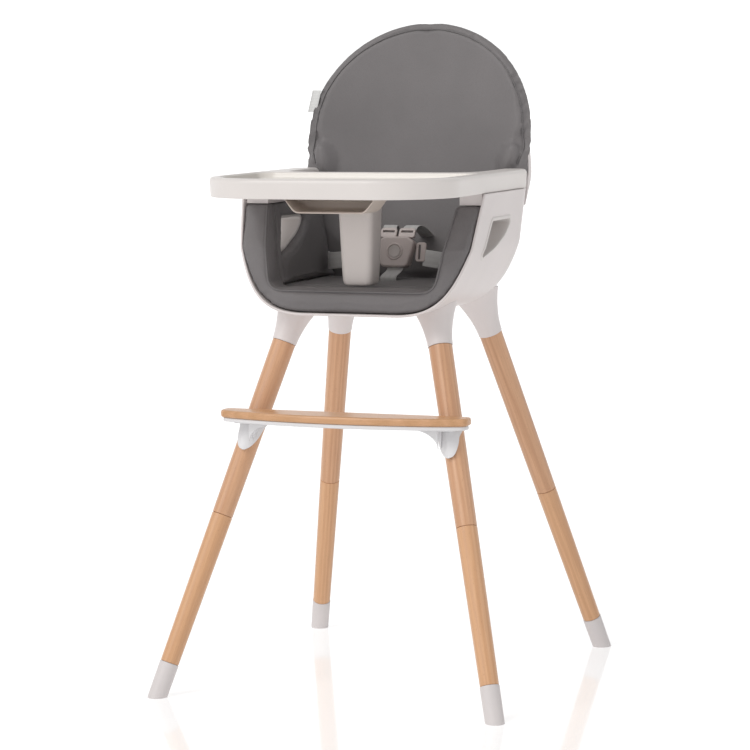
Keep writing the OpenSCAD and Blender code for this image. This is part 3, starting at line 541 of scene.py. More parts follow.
# %% Webbing, label and steel
def woven(name, colour, rib=0.0011, depth=0.55):
    finish, tree, shader = new_finish(name, colour, 0.72, Sheen_Weight=0.25, Sheen_Roughness=0.4)
    uv = add(tree, "UVMap", uv_map="weave").outputs["UV"]
    weft = add(tree, "TexWave", {"Vector": uv}, wave_type="BANDS", bands_direction="X",
               Scale=1 / (rib * 3.2), Distortion=0.4, Detail=1.0).outputs["Fac"]
    warp = add(tree, "TexWave", {"Vector": uv}, wave_type="BANDS", bands_direction="Y",
               Scale=1 / (rib * 5.0), Distortion=0.3, Detail=1.0).outputs["Fac"]
    weave = blend_colour(tree, 0.5, weft, warp, "MULTIPLY")
    fuzz = noise(tree, place_on(tree), 900, 3)
    # the low parts of the weave, between the threads, are darkened: painted shade
    tone = blend_colour(tree, ramp(tree, weave, (0.1, 0.55), (0.7, 0.0)), colour,
                        tuple(c * 0.62 for c in colour))
    tone = blend_colour(tree, spread(tree, fuzz, 0.0, 0.35), tone, tuple(c * 0.8 for c in colour))
    tree.links.new(tone, shader.inputs["Base Color"])
    tree.links.new(spread(tree, fuzz, 0.64, 0.82), shader.inputs["Roughness"])
    bump(tree, shader, weave, depth, 0.0004)
    return finish


def steel(name):
    finish, tree, shader = new_finish(name, (0.55, 0.55, 0.56), 0.32, Metallic=1.0)
    where = place_on(tree)
    streak = noise(tree, place_on(tree, (1, 1, 0.1)), 500, 3)
    tree.links.new(ramp(tree, noise(tree, where, 60, 3), (0.3, (0.48, 0.48, 0.49)),
                        (0.7, (0.60, 0.60, 0.61))),
                   shader.inputs["Base Color"])
    tree.links.new(spread(tree, streak, 0.24, 0.42), shader.inputs["Roughness"])
    bump(tree, shader, streak, 0.08, 0.0002)
    return finish


WEBBING = woven("harness_webbing", (0.58, 0.57, 0.56))
LABEL = woven("label_satin", (0.84, 0.84, 0.83), rib=0.0006, depth=0.2)
STEEL = steel("zinc_steel")
for node in ("bezel_screws", "leg_top_bolts", "leg_joint_studs", "footrest_bolts", "shell_screws"):
    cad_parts[node].data.materials.clear()
    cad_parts[node].data.materials.append(STEEL)
print("finishes", len(bpy.data.materials))

# %% [markdown]
# ## Legs
# Each leg is two lengths of turned beech with a moulded cap at the floor and a
# moulded socket at the seat. A lathe profile gives the taper and the tiny
# rounded shoulders at the joint. It is turned upright and then laid along the
# leg's own axis, and its upright coordinates are kept as the grain.

# %% Legs
LEG_TOP_Z, JOINT_Z, CAP_Z = UNDER_Z - 44, 256, 48
LEG_R0, LEG_R1 = 13.0, 17.0
CORNERS = {"fl": (-1, -1), "fr": (1, -1), "rl": (-1, 1), "rr": (1, 1)}


def leg_ends(key):
    sx, sy = CORNERS[key]
    top = Vector((sx * (HIP_HALF - 58), FRONT_Y + 51 if sy < 0 else REAR_Y - 25, LEG_TOP_Z))
    spread_x, spread_y = (136, 162) if sy < 0 else (116, 181)
    return top + Vector((sx * spread_x, sy * spread_y, -LEG_TOP_Z)), top


def leg_matrix(key):
    foot, top = leg_ends(key)
    return Matrix.Translation(foot) @ (top - foot).to_track_quat("Z", "Y").to_matrix().to_4x4()


def leg_run(key, z):
    foot, top = leg_ends(key)
    return (top - foot).length * z / LEG_TOP_Z


def leg_radius(key, run):
    foot, top = leg_ends(key)
    return LEG_R0 + (LEG_R1 - LEG_R0) * run / (top - foot).length


def keep_grain(bm, seed):
    # the upright coordinates, in metres, shifted so that no two pieces match
    layer = bm.verts.layers.float_vector.new("grain")
    for v in bm.verts:
        v[layer] = v.co * MM + Vector((0.031 * seed, 0.047 * seed, 0.13 * seed))


def leg_length(key, name, low, high, finish, seed):
    r0, r1 = leg_radius(key, low), leg_radius(key, high)
    profile = [(0, low), (r0 - 1.2, low), (r0 - 0.35, low + 0.35), (r0, low + 1.2)]
    profile += [(r0 + (r1 - r0) * t / 12, low + (high - low) * t / 12) for t in range(1, 12)]
    profile += [(r1, high - 1.2), (r1 - 0.35, high - 0.35), (r1 - 1.2, high), (0, high)]
    bm = turn(profile, 56)
    keep_grain(bm, seed)
    bmesh.ops.transform(bm, matrix=leg_matrix(key), verts=bm.verts)
    return piece(f"{name}_{key}_wood", bm, finish, "chair", f"{name}_{key}")


def foot_cap(key):
    cap = leg_run(key, CAP_Z)
    r = leg_radius(key, cap) + 0.6
    r0 = leg_radius(key, 0) + 0.6
    profile = [(0, -16), (r0 - 0.6, -16)] + [(r0 + (r - r0) * t / 8, cap * t / 8) for t in range(0, 8)]
    profile += [(r, cap - 0.9), (r - 0.3, cap - 0.25), (r - 1.0, cap), (0, cap)]
    bm = turn(profile, 56)
    bmesh.ops.transform(bm, matrix=leg_matrix(key), verts=bm.verts)
    sole = bmesh.ops.bisect_plane(bm, geom=bm.verts[:] + bm.edges[:] + bm.faces[:], plane_co=(0, 0, 0),
                                  plane_no=(0, 0, -1), clear_outer=True)["geom_cut"]
    rim = [g for g in sole if isinstance(g, bmesh.types.BMEdge)]
    bmesh.ops.contextual_create(bm, geom=rim)
    bmesh.ops.bevel(bm, geom=[e for e in rim if e.is_valid], offset=0.8, offset_type="OFFSET", segments=2,
                    profile=0.5, affect="EDGES", material=-1)
    bmesh.ops.recalc_face_normals(bm, faces=bm.faces)
    return piece(f"foot_cap_{key}_moulding", bm, CAP_GREY, "chair", f"foot_cap_{key}")


for seed, key in enumerate(CORNERS, 1):
    leg_length(key, "upper_leg", leg_run(key, JOINT_Z) + 0.1, leg_run(key, LEG_TOP_Z), BEECH_UPPER,
               seed)
    leg_length(key, "lower_leg", leg_run(key, CAP_Z) + 0.1, leg_run(key, JOINT_Z) - 0.1, BEECH_LOWER,
               seed + 5)
    foot_cap(key)

# %% [markdown]
# ## The bucket
# The bucket is a tub with its front cut away. Seen from the front it is a U,
# seen from above a D. Each level of the U gives a half width, a rear wall and a
# front edge, and the D is drawn through them; a grid laid over all the levels
# is the outer skin. A Solidify modifier gives it the 3.5 mm wall and a Bevel
# rounds the moulded edge.

# %% Bucket form
U_LINE = np.array(bez_points((FLAT_HALF, UNDER_Z), (FLAT_HALF + 0.62 * (HIP_HALF - FLAT_HALF), UNDER_Z),
                             (HIP_HALF - 0.19 * (HIP_HALF - FLAT_HALF), UNDER_Z + 34.2), (HIP_HALF, HIP_Z),
                             40)
                  + [np.array((RIM_HALF, RIM_Z))])
REAR_LINE = np.array(bez_points((REAR_Y - 80, UNDER_Z), (REAR_Y - 25, UNDER_Z), (REAR_Y - 4, UNDER_Z + 35),
                                (REAR_Y, UNDER_Z + 85), 40) + [np.array((REAR_Y + 3, RIM_Z))])
FRONT_LINE = np.array(bez_points((RIM_FRONT_Y, RIM_Z), (FRONT_Y + 35, RIM_Z - 60),
                                 (FRONT_Y + 10, UNDER_Z + 50),
                                 (FRONT_Y, UNDER_Z), 40))[::-1]
LEVELS = even(U_LINE, 300)


def tub_half(z):
    return float(np.interp(z, U_LINE[:, 1], U_LINE[:, 0]))


def tub_rear(z):
    return float(np.interp(z, REAR_LINE[:, 1], REAR_LINE[:, 0]))


def tub_front(z):
    return float(np.interp(z, FRONT_LINE[:, 1], FRONT_LINE[:, 0]))


def corner_radius(half):
    return min(58 + 12 * ease((half - FLAT_HALF) / (HIP_HALF - FLAT_HALF)), half)


def tub_point(u, z, half, grow=0.0, front=None):
    # a point on the D at height z, u running from the front left round the back
    half, rear = half + grow, tub_rear(z) + grow
    first = tub_front(z) if front is None else front
    r = corner_radius(half)
    side, arc, back = rear - r - first, math.pi / 2 * r, 2 * (half - r)
    run = u * (2 * side + 2 * arc + back)
    if run > side + arc + back / 2:
        x, y = tub_plan(2 * side + 2 * arc + back - run, half, rear, r, side, arc, first)
        return Vector((-x, y, z))
    x, y = tub_plan(run, half, rear, r, side, arc, first)
    return Vector((x, y, z))


def tub_plan(run, half, rear, r, side, arc, first):
    if run < side:
        return -half, first + run
    if run < side + arc:
        a = (run - side) / r
        return -half + r - r * math.cos(a), rear - r + r * math.sin(a)
    return -half + r + (run - side - arc), rear


def level(v):
    x, z = LEVELS[min(int(round(v * (len(LEVELS) - 1))), len(LEVELS) - 1)]
    return float(x), float(z)


def bucket_skin(grow=0.0, front=None, top=None):
    def place(u, v):
        half, z = level(v)
        return tub_point(u, z if top is None or v < 0.999 else top, half, grow, front)
    bm = skin(132, 44, place)
    bm.verts.ensure_lookup_table()
    lowest = min(v.co.z for v in bm.verts)
    floor_edges = [e for e in bm.edges if e.is_boundary and all(v.co.z < lowest + 0.01 for v in e.verts)]
    ends = [v for e in floor_edges for v in e.verts
            if sum(1 for f in v.link_edges if f in floor_edges) == 1]
    floor_edges.append(bm.edges.new(ends))
    bmesh.ops.contextual_create(bm, geom=floor_edges)
    bmesh.ops.recalc_face_normals(bm, faces=bm.faces)
    return bm


def bucket_plug():
    # the bucket as a closed block, for cutting what has to stop at its outside
    bm = bucket_skin(0.15)
    bmesh.ops.holes_fill(bm, edges=bm.edges, sides=0)
    bmesh.ops.triangulate(bm, faces=[f for f in bm.faces if len(f.verts) > 4])
    bmesh.ops.recalc_face_normals(bm, faces=bm.faces)
    return loose("bucket_plug", bm)


# %% [markdown]
# ### Side openings
# A hand hole with rounded corners goes through each side wall, lined by a
# separate moulded bezel whose lip stands a millimetre proud outside.

# %% Side openings
OPEN_TOP, OPEN_FOOT = RIM_Z - 38, RIM_Z - 97
OPEN_CORNERS = [(RIM_FRONT_Y + 40, OPEN_TOP), (RIM_FRONT_Y + 12, OPEN_FOOT),
                (RIM_FRONT_Y + 60, OPEN_FOOT + 14),
                (RIM_FRONT_Y + 104, OPEN_TOP - 25), (RIM_FRONT_Y + 128, OPEN_TOP)]
OPEN_RADII = [6, 7, 40, 60, 6]


def moved_in(points, d):
    out = []
    for i, p in enumerate(points):
        a, b, c = (np.array(q, float) for q in (points[i - 1], p, points[(i + 1) % len(points)]))
        u, w = (b - a) / np.linalg.norm(b - a), (c - b) / np.linalg.norm(c - b)
        nu, nw = np.array((-u[1], u[0])), np.array((-w[1], w[0]))
        out.append(b + d * (nu + nw) / (1 + nu @ nw))
    return out


def opening_outline(d, count=96):
    line = rounded(moved_in(OPEN_CORNERS, d), [max(r - d, 0.8) for r in OPEN_RADII], 12)
    return even(line, count, closed=True)


def side_wall_x(z):
    return tub_half(z)


def seat_bucket():
    obj = loose("bucket", bucket_skin())
    wall = obj.modifiers.new("wall", "SOLIDIFY")
    wall.thickness, wall.offset, wall.use_even_offset = WALL * MM, -1, True
    rim = obj.modifiers.new("rim", "BEVEL")
    rim.width, rim.segments, rim.limit_method, rim.angle_limit = 1.3 * MM, 3, "ANGLE", math.radians(50)
    freeze(obj)
    bm = prism(opening_outline(0), -RIM_HALF - 30, RIM_HALF + 30, axis="x")
    cut(obj, loose("hand_hole_knife", bm))
    done = taken(obj)
    return piece("seat_bucket_moulding", done, SHELL_WHITE, "chair", "seat_shell", crisp=35)


def bezel(side):
    # rows run from the liner outwards through the tube, over the lip, and back outside it
    name = "left" if side < 0 else "right"
    low, high = box_mm(f"bezel_{name}")
    inner = min(abs(low.x), abs(high.x))
    rows = [(-2.6, inner + 1.2), (-2.6, inner - 0.6), (0.4, inner - 1.2), (2.2, inner - 0.6),
            (2.65, inner + 1.5),
            (2.65, None, -5), (2.5, None, -0.2), (1.4, None, 1.15), (-0.8, None, 1.25), (-2.6, None, 0.9),
            (-3.2, None, 0.05),
            (-0.15, None, -0.4), (0.15, None, -4), (0.15, inner + 1.2)]
    lines = [opening_outline(row[0]) for row in rows]

    def place(u, v):
        k = int(round(v * len(rows))) % len(rows)
        y, z = lines[k][int(round(u * 96)) % 96]
        x = rows[k][1] if rows[k][1] is not None else side_wall_x(z) + rows[k][2]
        return Vector((side * x, y, z))
    bm = skin(96, len(rows), place)
    return piece(f"bezel_{name}_moulding", bm, BEZEL_GREY, "chair", f"bezel_{name}", crisp=50)


seat_bucket()
bezel(-1)
bezel(1)
PLUG = bucket_plug()

# %% [markdown]
# ## Leg sockets
# Under the bucket each leg runs into a flaring horn that grows out of the
# shell. It is turned on the leg's axis and cut off where it meets the bucket.

# %% Leg sockets
def leg_socket(key):
    foot, top = leg_ends(key)
    length = (top - foot).length
    reach = 78
    profile = [(0, 0.6), (LEG_R1 - 0.2, 0.6), (LEG_R1 + 0.25, 0), (LEG_R1 + 0.75, 0.15)]
    profile += [(LEG_R1 + 1 + 22 * (t / 20) ** 1.8, max(reach * t / 20, 1.0))
                for t in range(0, 21)] + [(0, reach)]
    bm = turn(profile, 64)
    bmesh.ops.translate(bm, vec=(0, 0, length), verts=bm.verts)
    bmesh.ops.transform(bm, matrix=leg_matrix(key), verts=bm.verts)
    bmesh.ops.bisect_plane(bm, geom=bm.verts[:] + bm.edges[:] + bm.faces[:], plane_co=(0, 0, UNDER_Z + 27),
                           plane_no=(0, 0, 1), clear_outer=True)
    bmesh.ops.holes_fill(bm, edges=bm.edges, sides=0)
    bmesh.ops.recalc_face_normals(bm, faces=bm.faces)
    obj = cut(loose("socket", bm), PLUG, keep_cutters=True)
    done = taken(obj)
    return piece(f"leg_socket_{key}_moulding", done, SHELL_WHITE, "chair", f"leg_socket_{key}",
                 crisp=40)


for key in CORNERS:
    leg_socket(key)

# %% [markdown]
# ## Backrest shell
# Behind the pad stands a second moulding, like a shallow dish with its open
# side forward. Its rim follows the domed outline of the back; from the rim the
# skin goes straight back, turns over a small radius and crosses the rear face.
# Its rings close on the middle of the foot, which is open behind the bucket.

# %% Backrest shell
BACK_TOP = box_mm("liner_back")[1].z
SPRING_Z, SKIRT_Z = RIM_Z + 75, RIM_Z - 26
FOOT_STEPS = 14
BULGE_Y = REAR_Y + 63
BACK_MID_Y = REAR_Y - 5.5


def dome_outline(half, foot_half, swell, low, top):
    # right half from the foot to the apex
    side = bez_points((foot_half, low), (foot_half + 4, low + 0.45 * (SPRING_Z - low)),
                      (half + swell, SPRING_Z - 32),
                      (half, SPRING_Z), FOOT_STEPS)
    arc = [np.array((half * math.cos(a), SPRING_Z + (top - SPRING_Z) * math.sin(a)))
           for a in np.linspace(0, math.pi / 2, 34)[1:]]
    return side + arc


def whole(half_line):
    return half_line + [np.array((-p[0], p[1])) for p in half_line[-2::-1]]


def back_face_y(x, z, shift=0.0):
    return BACK_MID_Y + shift + (z - RIM_Z) * 0.226 - 700 + math.sqrt(490000 - x * x)


BACK_SIDE = np.array(bez_points((REAR_Y + 3, SKIRT_Z), (REAR_Y + 33, SKIRT_Z + 4),
                                (BULGE_Y - 12, RIM_Z - 12),
                                (BULGE_Y, RIM_Z + 20), 16)
                     + bez_points((BULGE_Y + 3, RIM_Z + 80), (BULGE_Y + 9, RIM_Z + 150),
                                  (BULGE_Y + 12, BACK_TOP - 30),
                                  (BULGE_Y + 4, BACK_TOP + 5), 16))


def shell_rear_y(x, z):
    rear = float(np.interp(z, BACK_SIDE[:, 1], BACK_SIDE[:, 0]))
    plan = 120 - math.sqrt(max(120 ** 2 - max(abs(x) - 79, 0) ** 2, 0))
    return rear - plan


# half widths at the springing and at the foot, and how far the side swells between them
DISH_HALF, DISH_FOOT_HALF, DISH_SWELL = 166, 176, 12
DISH_TOP = BACK_TOP - 12
DISH_OUTLINE = dome_outline(DISH_HALF, DISH_FOOT_HALF, DISH_SWELL, SKIRT_Z, DISH_TOP)


def back_dish():
    line = even(whole(DISH_OUTLINE), 161)
    centre = np.array((0.0, SKIRT_Z))
    shares = [1, 1, 1] + [1 - 0.012 * k for k in (0.25, 1, 2.2, 3.8, 5.6)] + list(np.linspace(0.90, 0, 34))

    def place(u, v):
        k = int(round(v * (len(shares) - 1)))
        edge = line[int(round(u * 160))]
        x, z = centre + (edge - centre) * shares[k]
        front = back_face_y(edge[0], edge[1], 12)
        away = np.linalg.norm(edge - centre) * (1 - shares[k])
        rear = max(shell_rear_y(x, z), front + 3 * min(away / 10, 1) + 2)
        r = min(13.0, max(shell_rear_y(*edge) - front - 1, 2))
        y = rear - (r - math.sqrt(max(r * r - max(r - away, 0) ** 2, 0)))
        if k < 2:
            y = front + (rear - r - front) * k / 2
        return Vector((x, y, z))
    bm = skin(160, len(shares) - 1, place)
    obj = loose("dish", bm)
    wall = obj.modifiers.new("wall", "SOLIDIFY")
    wall.thickness, wall.offset, wall.use_even_offset = WALL * MM, -1, False
    freeze(obj)
    cut(obj, PLUG, keep_cutters=True)
    done = taken(obj)
    return piece("back_dish_moulding", done, SHELL_WHITE, "chair", "back_shell", crisp=40)


back_dish()
bpy.data.objects.remove(PLUG)

# %% [markdown]
# ## Footrest
# A bent beech board with a bowed front edge lies on a thin moulded frame, and
# two brackets wrap the front of the front legs. The board's outline is raised
# into a slab and its rims are rounded, and the grain runs across the chair.

# %% Footrest
BOARD_LOW, BOARD_HIGH = box_mm("footrest_board")
BOARD_HALF = BOARD_HIGH.x
BOARD_Y1 = BOARD_HIGH.y
BOARD_Y0 = BOARD_Y1 - 30


def board_outline(d, bow=28):
    half, y1, y0 = BOARD_HALF - d, BOARD_Y1 - d, BOARD_Y0 + d
    line = corner((half - 60, y1), (half, y1), (half, y0), 9, 6)
    line += corner((half, y1), (half, y0), (half - 60, y0 - bow * 0.3), 13, 7)
    line += [np.array((-i / 20 * half * 0.88, y0 - bow * (1 - (i / 20 * 0.88) ** 2)))
             for i in range(-19, 20)]
    line += corner((60 - half, y0 - bow * 0.3), (-half, y0), (-half, y1), 13, 7)
    line += corner((-half, y0), (-half, y1), (60 - half, y1), 9, 6)
    return line


def footrest_board():
    bm = prism(board_outline(0), BOARD_LOW.z, BOARD_HIGH.z, soft=3.6, segments=5)
    layer = bm.verts.layers.float_vector.new("grain")
    for v in bm.verts:
        v[layer] = Vector((v.co.y, v.co.z, v.co.x)) * MM + Vector((0.4, 0.2, 0.7))
    return piece("footrest_board_wood", bm, BEECH_BOARD, "chair", "footrest_board", crisp=60)


def footrest_frame():
    low, high = box_mm("footrest_frame")
    bm = prism(board_outline(2.6), low.z, high.z, soft=1.6, segments=3)
    return piece("footrest_frame_moulding", bm, FRAME_WHITE, "chair", "footrest_frame", crisp=60)


def join_in(done, part):
    # part's faces go into done, and part goes
    mesh = bpy.data.meshes.new("part")
    part.to_mesh(mesh)
    part.free()
    done.from_mesh(mesh)
    bpy.data.meshes.remove(mesh)


def bracket(side):
    # a cradle on the leg, hung from the frame by a curved gusset with a pocket in it
    key = "fl" if side < 0 else "fr"
    name = "left" if side < 0 else "right"
    top = box_mm("footrest_frame")[0].z - 0.1
    foot, head = leg_ends(key)
    axis = (head - foot).normalized()
    r = leg_radius(key, leg_run(key, top))

    def cradle(u, v):
        # u goes round the front half of the leg, v from the bottom tip to the top
        drop = 41 * (1 - v)
        wide = math.sqrt(max(0.0, 1 - (drop / 41) ** 1.7))
        a = math.radians(-90 - side * 12 + (u - 0.5) * (118 + 40 * ease(1 - drop / 14)) * max(wide, 0.02))
        centre = foot + axis * leg_run(key, top - drop)
        return Vector((centre.x + (r + 4.2) * math.cos(a), centre.y + (r + 4.2) * math.sin(a), top - drop))
    bm = skin(28, 18, cradle)
    obj = loose("cradle", bm)
    wall = obj.modifiers.new("wall", "SOLIDIFY")
    wall.thickness, wall.offset = 4.0 * MM, 0
    soft = obj.modifiers.new("soft", "BEVEL")
    soft.width, soft.segments, soft.limit_method, soft.angle_limit = 0.9 * MM, 2, "ANGLE", math.radians(50)
    freeze(obj)
    done = taken(obj)
    p = foot + axis * leg_run(key, top)
    sweep = [(p.x * side - 50 + 44 * math.sin(math.radians(a)),
              top - 1 - 27 * (1 - math.cos(math.radians(a))))
             for a in range(0, 91, 9)]
    web = [(p.x * side - 50, top)] + sweep + [(p.x * side - 6, top)]
    for y0, y1 in ((BOARD_Y1 - 23, BOARD_Y1 - 20), (BOARD_Y1 - 9, BOARD_Y1 - 6)):
        rib = prism([(side * x, z) for x, z in web], y0, y1, soft=0.7, segments=2, axis="y")
        join_in(done, rib)
    corners = [(p.x * side - 50, BOARD_Y1 - 23), (p.x * side + 18, BOARD_Y1 - 23),
               (p.x * side + 18, BOARD_Y1 - 4), (p.x * side - 50, BOARD_Y1 - 4)]
    plate = prism([(side * x, y) for x, y in rounded(corners, [4] * 4)], top - 2.4, top, soft=0.6,
                  segments=2)
    join_in(done, plate)
    bmesh.ops.recalc_face_normals(done, faces=done.faces)
    return piece(f"footrest_bracket_{name}_moulding", done, FRAME_WHITE, "chair",
                 f"footrest_bracket_{name}", crisp=45)


footrest_board()
footrest_frame()
bracket(-1)
bracket(1)

# %% [markdown]
# ## Tray
# The tray is a U in plan: a plate in front and two arms that ride on the
# rails. Its skin is grown ring by ring: the rim of the underside is extruded
# and moved out and up, over the rounded top edge, and the flat top is filled
# round the recess, whose wall and floor are grown the same way.

# %% Tray
TRAY_HALF, TRAY_Y0, ARM_Y1 = TRAY_HIGH.x, TRAY_LOW.y, TRAY_HIGH.y
ARM_IN, PLATE_Y1 = TRAY_HALF - 40, RIM_FRONT_Y + 49
TRAY_Z0, TRAY_Z1 = TRAY_LOW.z, TRAY_HIGH.z


def tray_outline(d):
    line = rounded([(-TRAY_HALF + d, TRAY_Y0 + d), (TRAY_HALF - d, TRAY_Y0 + d),
                    (TRAY_HALF - d, ARM_Y1 - d),
                    (ARM_IN + d, ARM_Y1 - d), (ARM_IN + d, PLATE_Y1 - d), (-ARM_IN - d, PLATE_Y1 - d),
                    (-ARM_IN - d, ARM_Y1 - d), (-TRAY_HALF + d, ARM_Y1 - d)],
                   [105 - d, 105 - d, 14 - d / 2, 10 - d / 3, 45 + d, 45 + d, 10 - d / 3, 14 - d / 2], 14)
    return line


def recess_outline(d):
    a = 15 + d
    return rounded([(-TRAY_HALF + a, TRAY_Y0 + a), (TRAY_HALF - a, TRAY_Y0 + a),
                    (TRAY_HALF - a, PLATE_Y1 - a),
                    (-TRAY_HALF + a, PLATE_Y1 - a)], [105 - a, 105 - a, 26 - d, 26 - d], 14)


def ring(bm, outline, z):
    verts = [bm.verts.new((p[0], p[1], z)) for p in outline]
    return verts, [bm.edges.new((verts[i - 1], verts[i])) for i in range(len(verts))]


def grow(bm, verts, edges, outline, z):
    # the next ring of a skin: extrude the rim and move it to the new outline
    made = bmesh.ops.extrude_edge_only(bm, edges=edges)["geom"]
    fresh = {g for g in made if isinstance(g, bmesh.types.BMVert)}
    nexts = [next(e.other_vert(v) for e in v.link_edges if e.other_vert(v) in fresh) for v in verts]
    for v, p in zip(nexts, outline):
        v.co = (p[0], p[1], z)
    return nexts, [bm.edges.get((nexts[i - 1], nexts[i])) for i in range(len(nexts))]


def tray_moulding():
    bm = bmesh.new()
    rows = [(2.6, 0.0), (1.9, 0.25), (1.45, 1.0), (1.2, 3), (0.6, 12), (0.15, 21.0), (0.0, 22.4)]
    rows += [(5.6 * (1 - math.cos(math.radians(a))), 22.4 + 5.6 * math.sin(math.radians(a)))
             for a in (18, 36, 54, 72, 90)]
    verts, edges = ring(bm, tray_outline(rows[0][0]), TRAY_Z0 + rows[0][1])
    under = list(edges)
    for d, h in rows[1:]:
        verts, edges = grow(bm, verts, edges, tray_outline(d), TRAY_Z0 + h)
    rim_verts, rim_edges = ring(bm, recess_outline(-1.6), TRAY_Z1)
    bmesh.ops.triangle_fill(bm, edges=edges + rim_edges, use_beauty=True)
    verts, edges = rim_verts, rim_edges
    for d, h in ((-0.8, 0.25), (-0.2, 0.9), (0, 1.8), (0, 12.0), (0.6, 12.8), (1.4, 13.0)):
        verts, edges = grow(bm, verts, edges, recess_outline(d), TRAY_Z1 - h)
    bmesh.ops.triangle_fill(bm, edges=edges, use_beauty=True)
    bmesh.ops.triangle_fill(bm, edges=under, use_beauty=True)
    tidy(bm)
    obj = loose("tray", bm)
    grooves = bmesh.new()
    tongue_low, tongue_high = box_mm("rail_right")
    tongue_x = (tongue_low.x + tongue_high.x) / 2 + 3
    for side in (-1, 1):
        made = bmesh.ops.create_cube(grooves, size=1)["verts"]
        bmesh.ops.scale(grooves, vec=(8.8, ARM_Y1 - tongue_low.y, 26.6), verts=made)
        bmesh.ops.translate(grooves, vec=(side * tongue_x, (ARM_Y1 + tongue_low.y) / 2 + 3, TRAY_Z0),
                            verts=made)
    pocket = prism(cover_outline(-0.15), TRAY_Z0 - 5, TRAY_Z0 + 3.15)
    cut(obj, loose("groove_knife", grooves), loose("cover_knife", pocket))
    done = taken(obj)
    return piece("tray_moulding", done, TRAY_WHITE, "tray", "tray_body", crisp=35)


def cover_outline(d):
    y0, y1 = box_mm("tray_bottom_cover")[0].y, box_mm("tray_bottom_cover")[1].y
    x = box_mm("tray_bottom_cover")[1].x
    return rounded([(-x + d, y0 + d), (x - d, y0 + d), (x - d, y1 - d), (-x + d, y1 - d)], [20, 20, 12, 12],
                   6)


def tray_insert():
    low, high = box_mm("tray_insert")
    bm = bmesh.new()
    verts, edges = ring(bm, recess_outline(2.2), low.z)
    bmesh.ops.triangle_fill(bm, edges=edges, use_beauty=True)
    for d, z in ((1.0, low.z + 0.4), (0.5, low.z + 1.4), (0.35, high.z - 1.0), (0.6, high.z - 0.35),
                 (1.2, high.z), (2.1, high.z - 0.1),
                 (2.75, high.z - 0.6), (3.1, high.z - 1.8), (3.6, low.z + 8.5), (4.6, low.z + 5.4),
                 (6.6, low.z + 3.5), (9.5, low.z + 2.6)):
        verts, edges = grow(bm, verts, edges, recess_outline(d), z)
    bmesh.ops.triangle_fill(bm, edges=edges, use_beauty=True)
    tidy(bm)
    return piece("tray_insert_moulding", bm, INSERT_CREAM, "insert", "tray_insert", crisp=55)


tray_moulding()
tray_insert()

# %% [markdown]
# ### Below the tray
# A cover closes the latch space, the release handle is a cup open to the
# front, and a hollow post comes down between the child's legs.

# %% Below the tray
def bottom_cover():
    low, high = box_mm("tray_bottom_cover")
    bm = prism(cover_outline(0), low.z, high.z, soft=0.7, segments=2)
    obj = loose("cover", bm)
    slot_low = box_mm("release_handle")[0]
    slot = prism([(-35.3, slot_low.y + 17), (35.3, slot_low.y + 17), (35.3, slot_low.y + 47),
                  (-35.3, slot_low.y + 47)], low.z - 2, high.z + 2)
    cut(obj, loose("slot_knife", slot))
    done = taken(obj)
    return piece("tray_bottom_cover_moulding", done, TRAY_WHITE, "tray", "tray_bottom_cover")


def scoop_line(wall, count=64):
    low, high = box_mm("release_handle")
    top, foot, half = TRAY_Z0 - 0.3, high.x - 17, high.x
    line = rounded([(-foot + wall, low.z + wall), (foot - wall, low.z + wall),
                    (half - wall * 1.1, top - wall), (-half + wall * 1.1, top - wall)],
                   [13 - wall, 13 - wall, 1.2, 1.2], 7)
    return even(line, count, closed=True)


def release_scoop():
    y0 = FRONT_Y - 65
    y1 = y0 + 55
    rows = [(4.0, y1), (1.4, y1 - 0.4), (0.3, y1 - 1.6), (0, y1 - 4), (0, y0 + 1.4), (0.35, y0 + 0.4),
            (1.2, y0), (2.1, y0 + 0.4),
            (2.5, y0 + 1.4), (2.9, y0 + 30), (4.5, y0 + 36), (8.0, y0 + 38.8)]
    lines = [scoop_line(d) for d, _ in rows]

    def place(u, v):
        k = int(round(v * (len(rows) - 1)))
        x, z = lines[k][int(round(u * 64)) % 64]
        return Vector((x, rows[k][1], z))
    bm = skin(64, len(rows) - 1, place, close=True)
    stem = bmesh.ops.create_cube(bm, size=1)["verts"]
    bmesh.ops.scale(bm, vec=(69, 15, 6), verts=stem)
    bmesh.ops.translate(bm, vec=(0, y0 + 38, TRAY_Z0 + 2.2), verts=stem)
    return piece("release_scoop", bm, HANDLE_BEIGE_PAINTED_SHADE, "handle", "release_handle", crisp=50)


def crotch_post():
    low, high = box_mm("crotch_post")
    mid_y = (low.y + high.y) / 2
    levels = [(0.60, 0.0), (0.80, 0.35), (0.91, 1.6), (0.965, 4.0), (0.995, 8.5), (1.0, 14)]
    levels += [(1.0 + 0.0, 14 + (high.z - low.z - 14) * t / 10) for t in range(1, 11)]

    def place(u, v):
        share, h = levels[int(round(v * (len(levels) - 1)))]
        t = h / (high.z - low.z)
        half_x, half_y = (22.3 + 4.7 * t ** 0.8) * share, (20.3 + 4.7 * t ** 0.8) * share
        r = 9.5 * share
        line = even(rounded([(-half_x, -half_y), (half_x, -half_y), (half_x, half_y), (-half_x, half_y)],
                            [r] * 4, 8), 80, closed=True)
        x, y = line[int(round(u * 80)) % 80]
        return Vector((x, mid_y + y, low.z + h))
    bm = skin(80, len(levels) - 1, place, close=True)
    return piece("crotch_post_moulding", bm, POST_WHITE_PAINTED_SHADE, "tray", "crotch_post", crisp=50)


bottom_cover()
release_scoop()
crotch_post()

# %% [markdown]
# ### Rails and latches
# The rails lie along the bucket's rim, each with a tongue that guides the tray
# arm. They and the two latches are right as the CAD has them and only need
# their plastic.

# %% Rails and latches
# the latches take the handle's plastic, its beige darkened with painted shade
for node, finish in (("rail_left", SHELL_WHITE), ("rail_right", SHELL_WHITE), ("latch_left", HANDLE_BEIGE_PAINTED_SHADE),
                     ("latch_right", HANDLE_BEIGE_PAINTED_SHADE)):
    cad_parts[node].data.materials.clear()
    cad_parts[node].data.materials.append(finish)

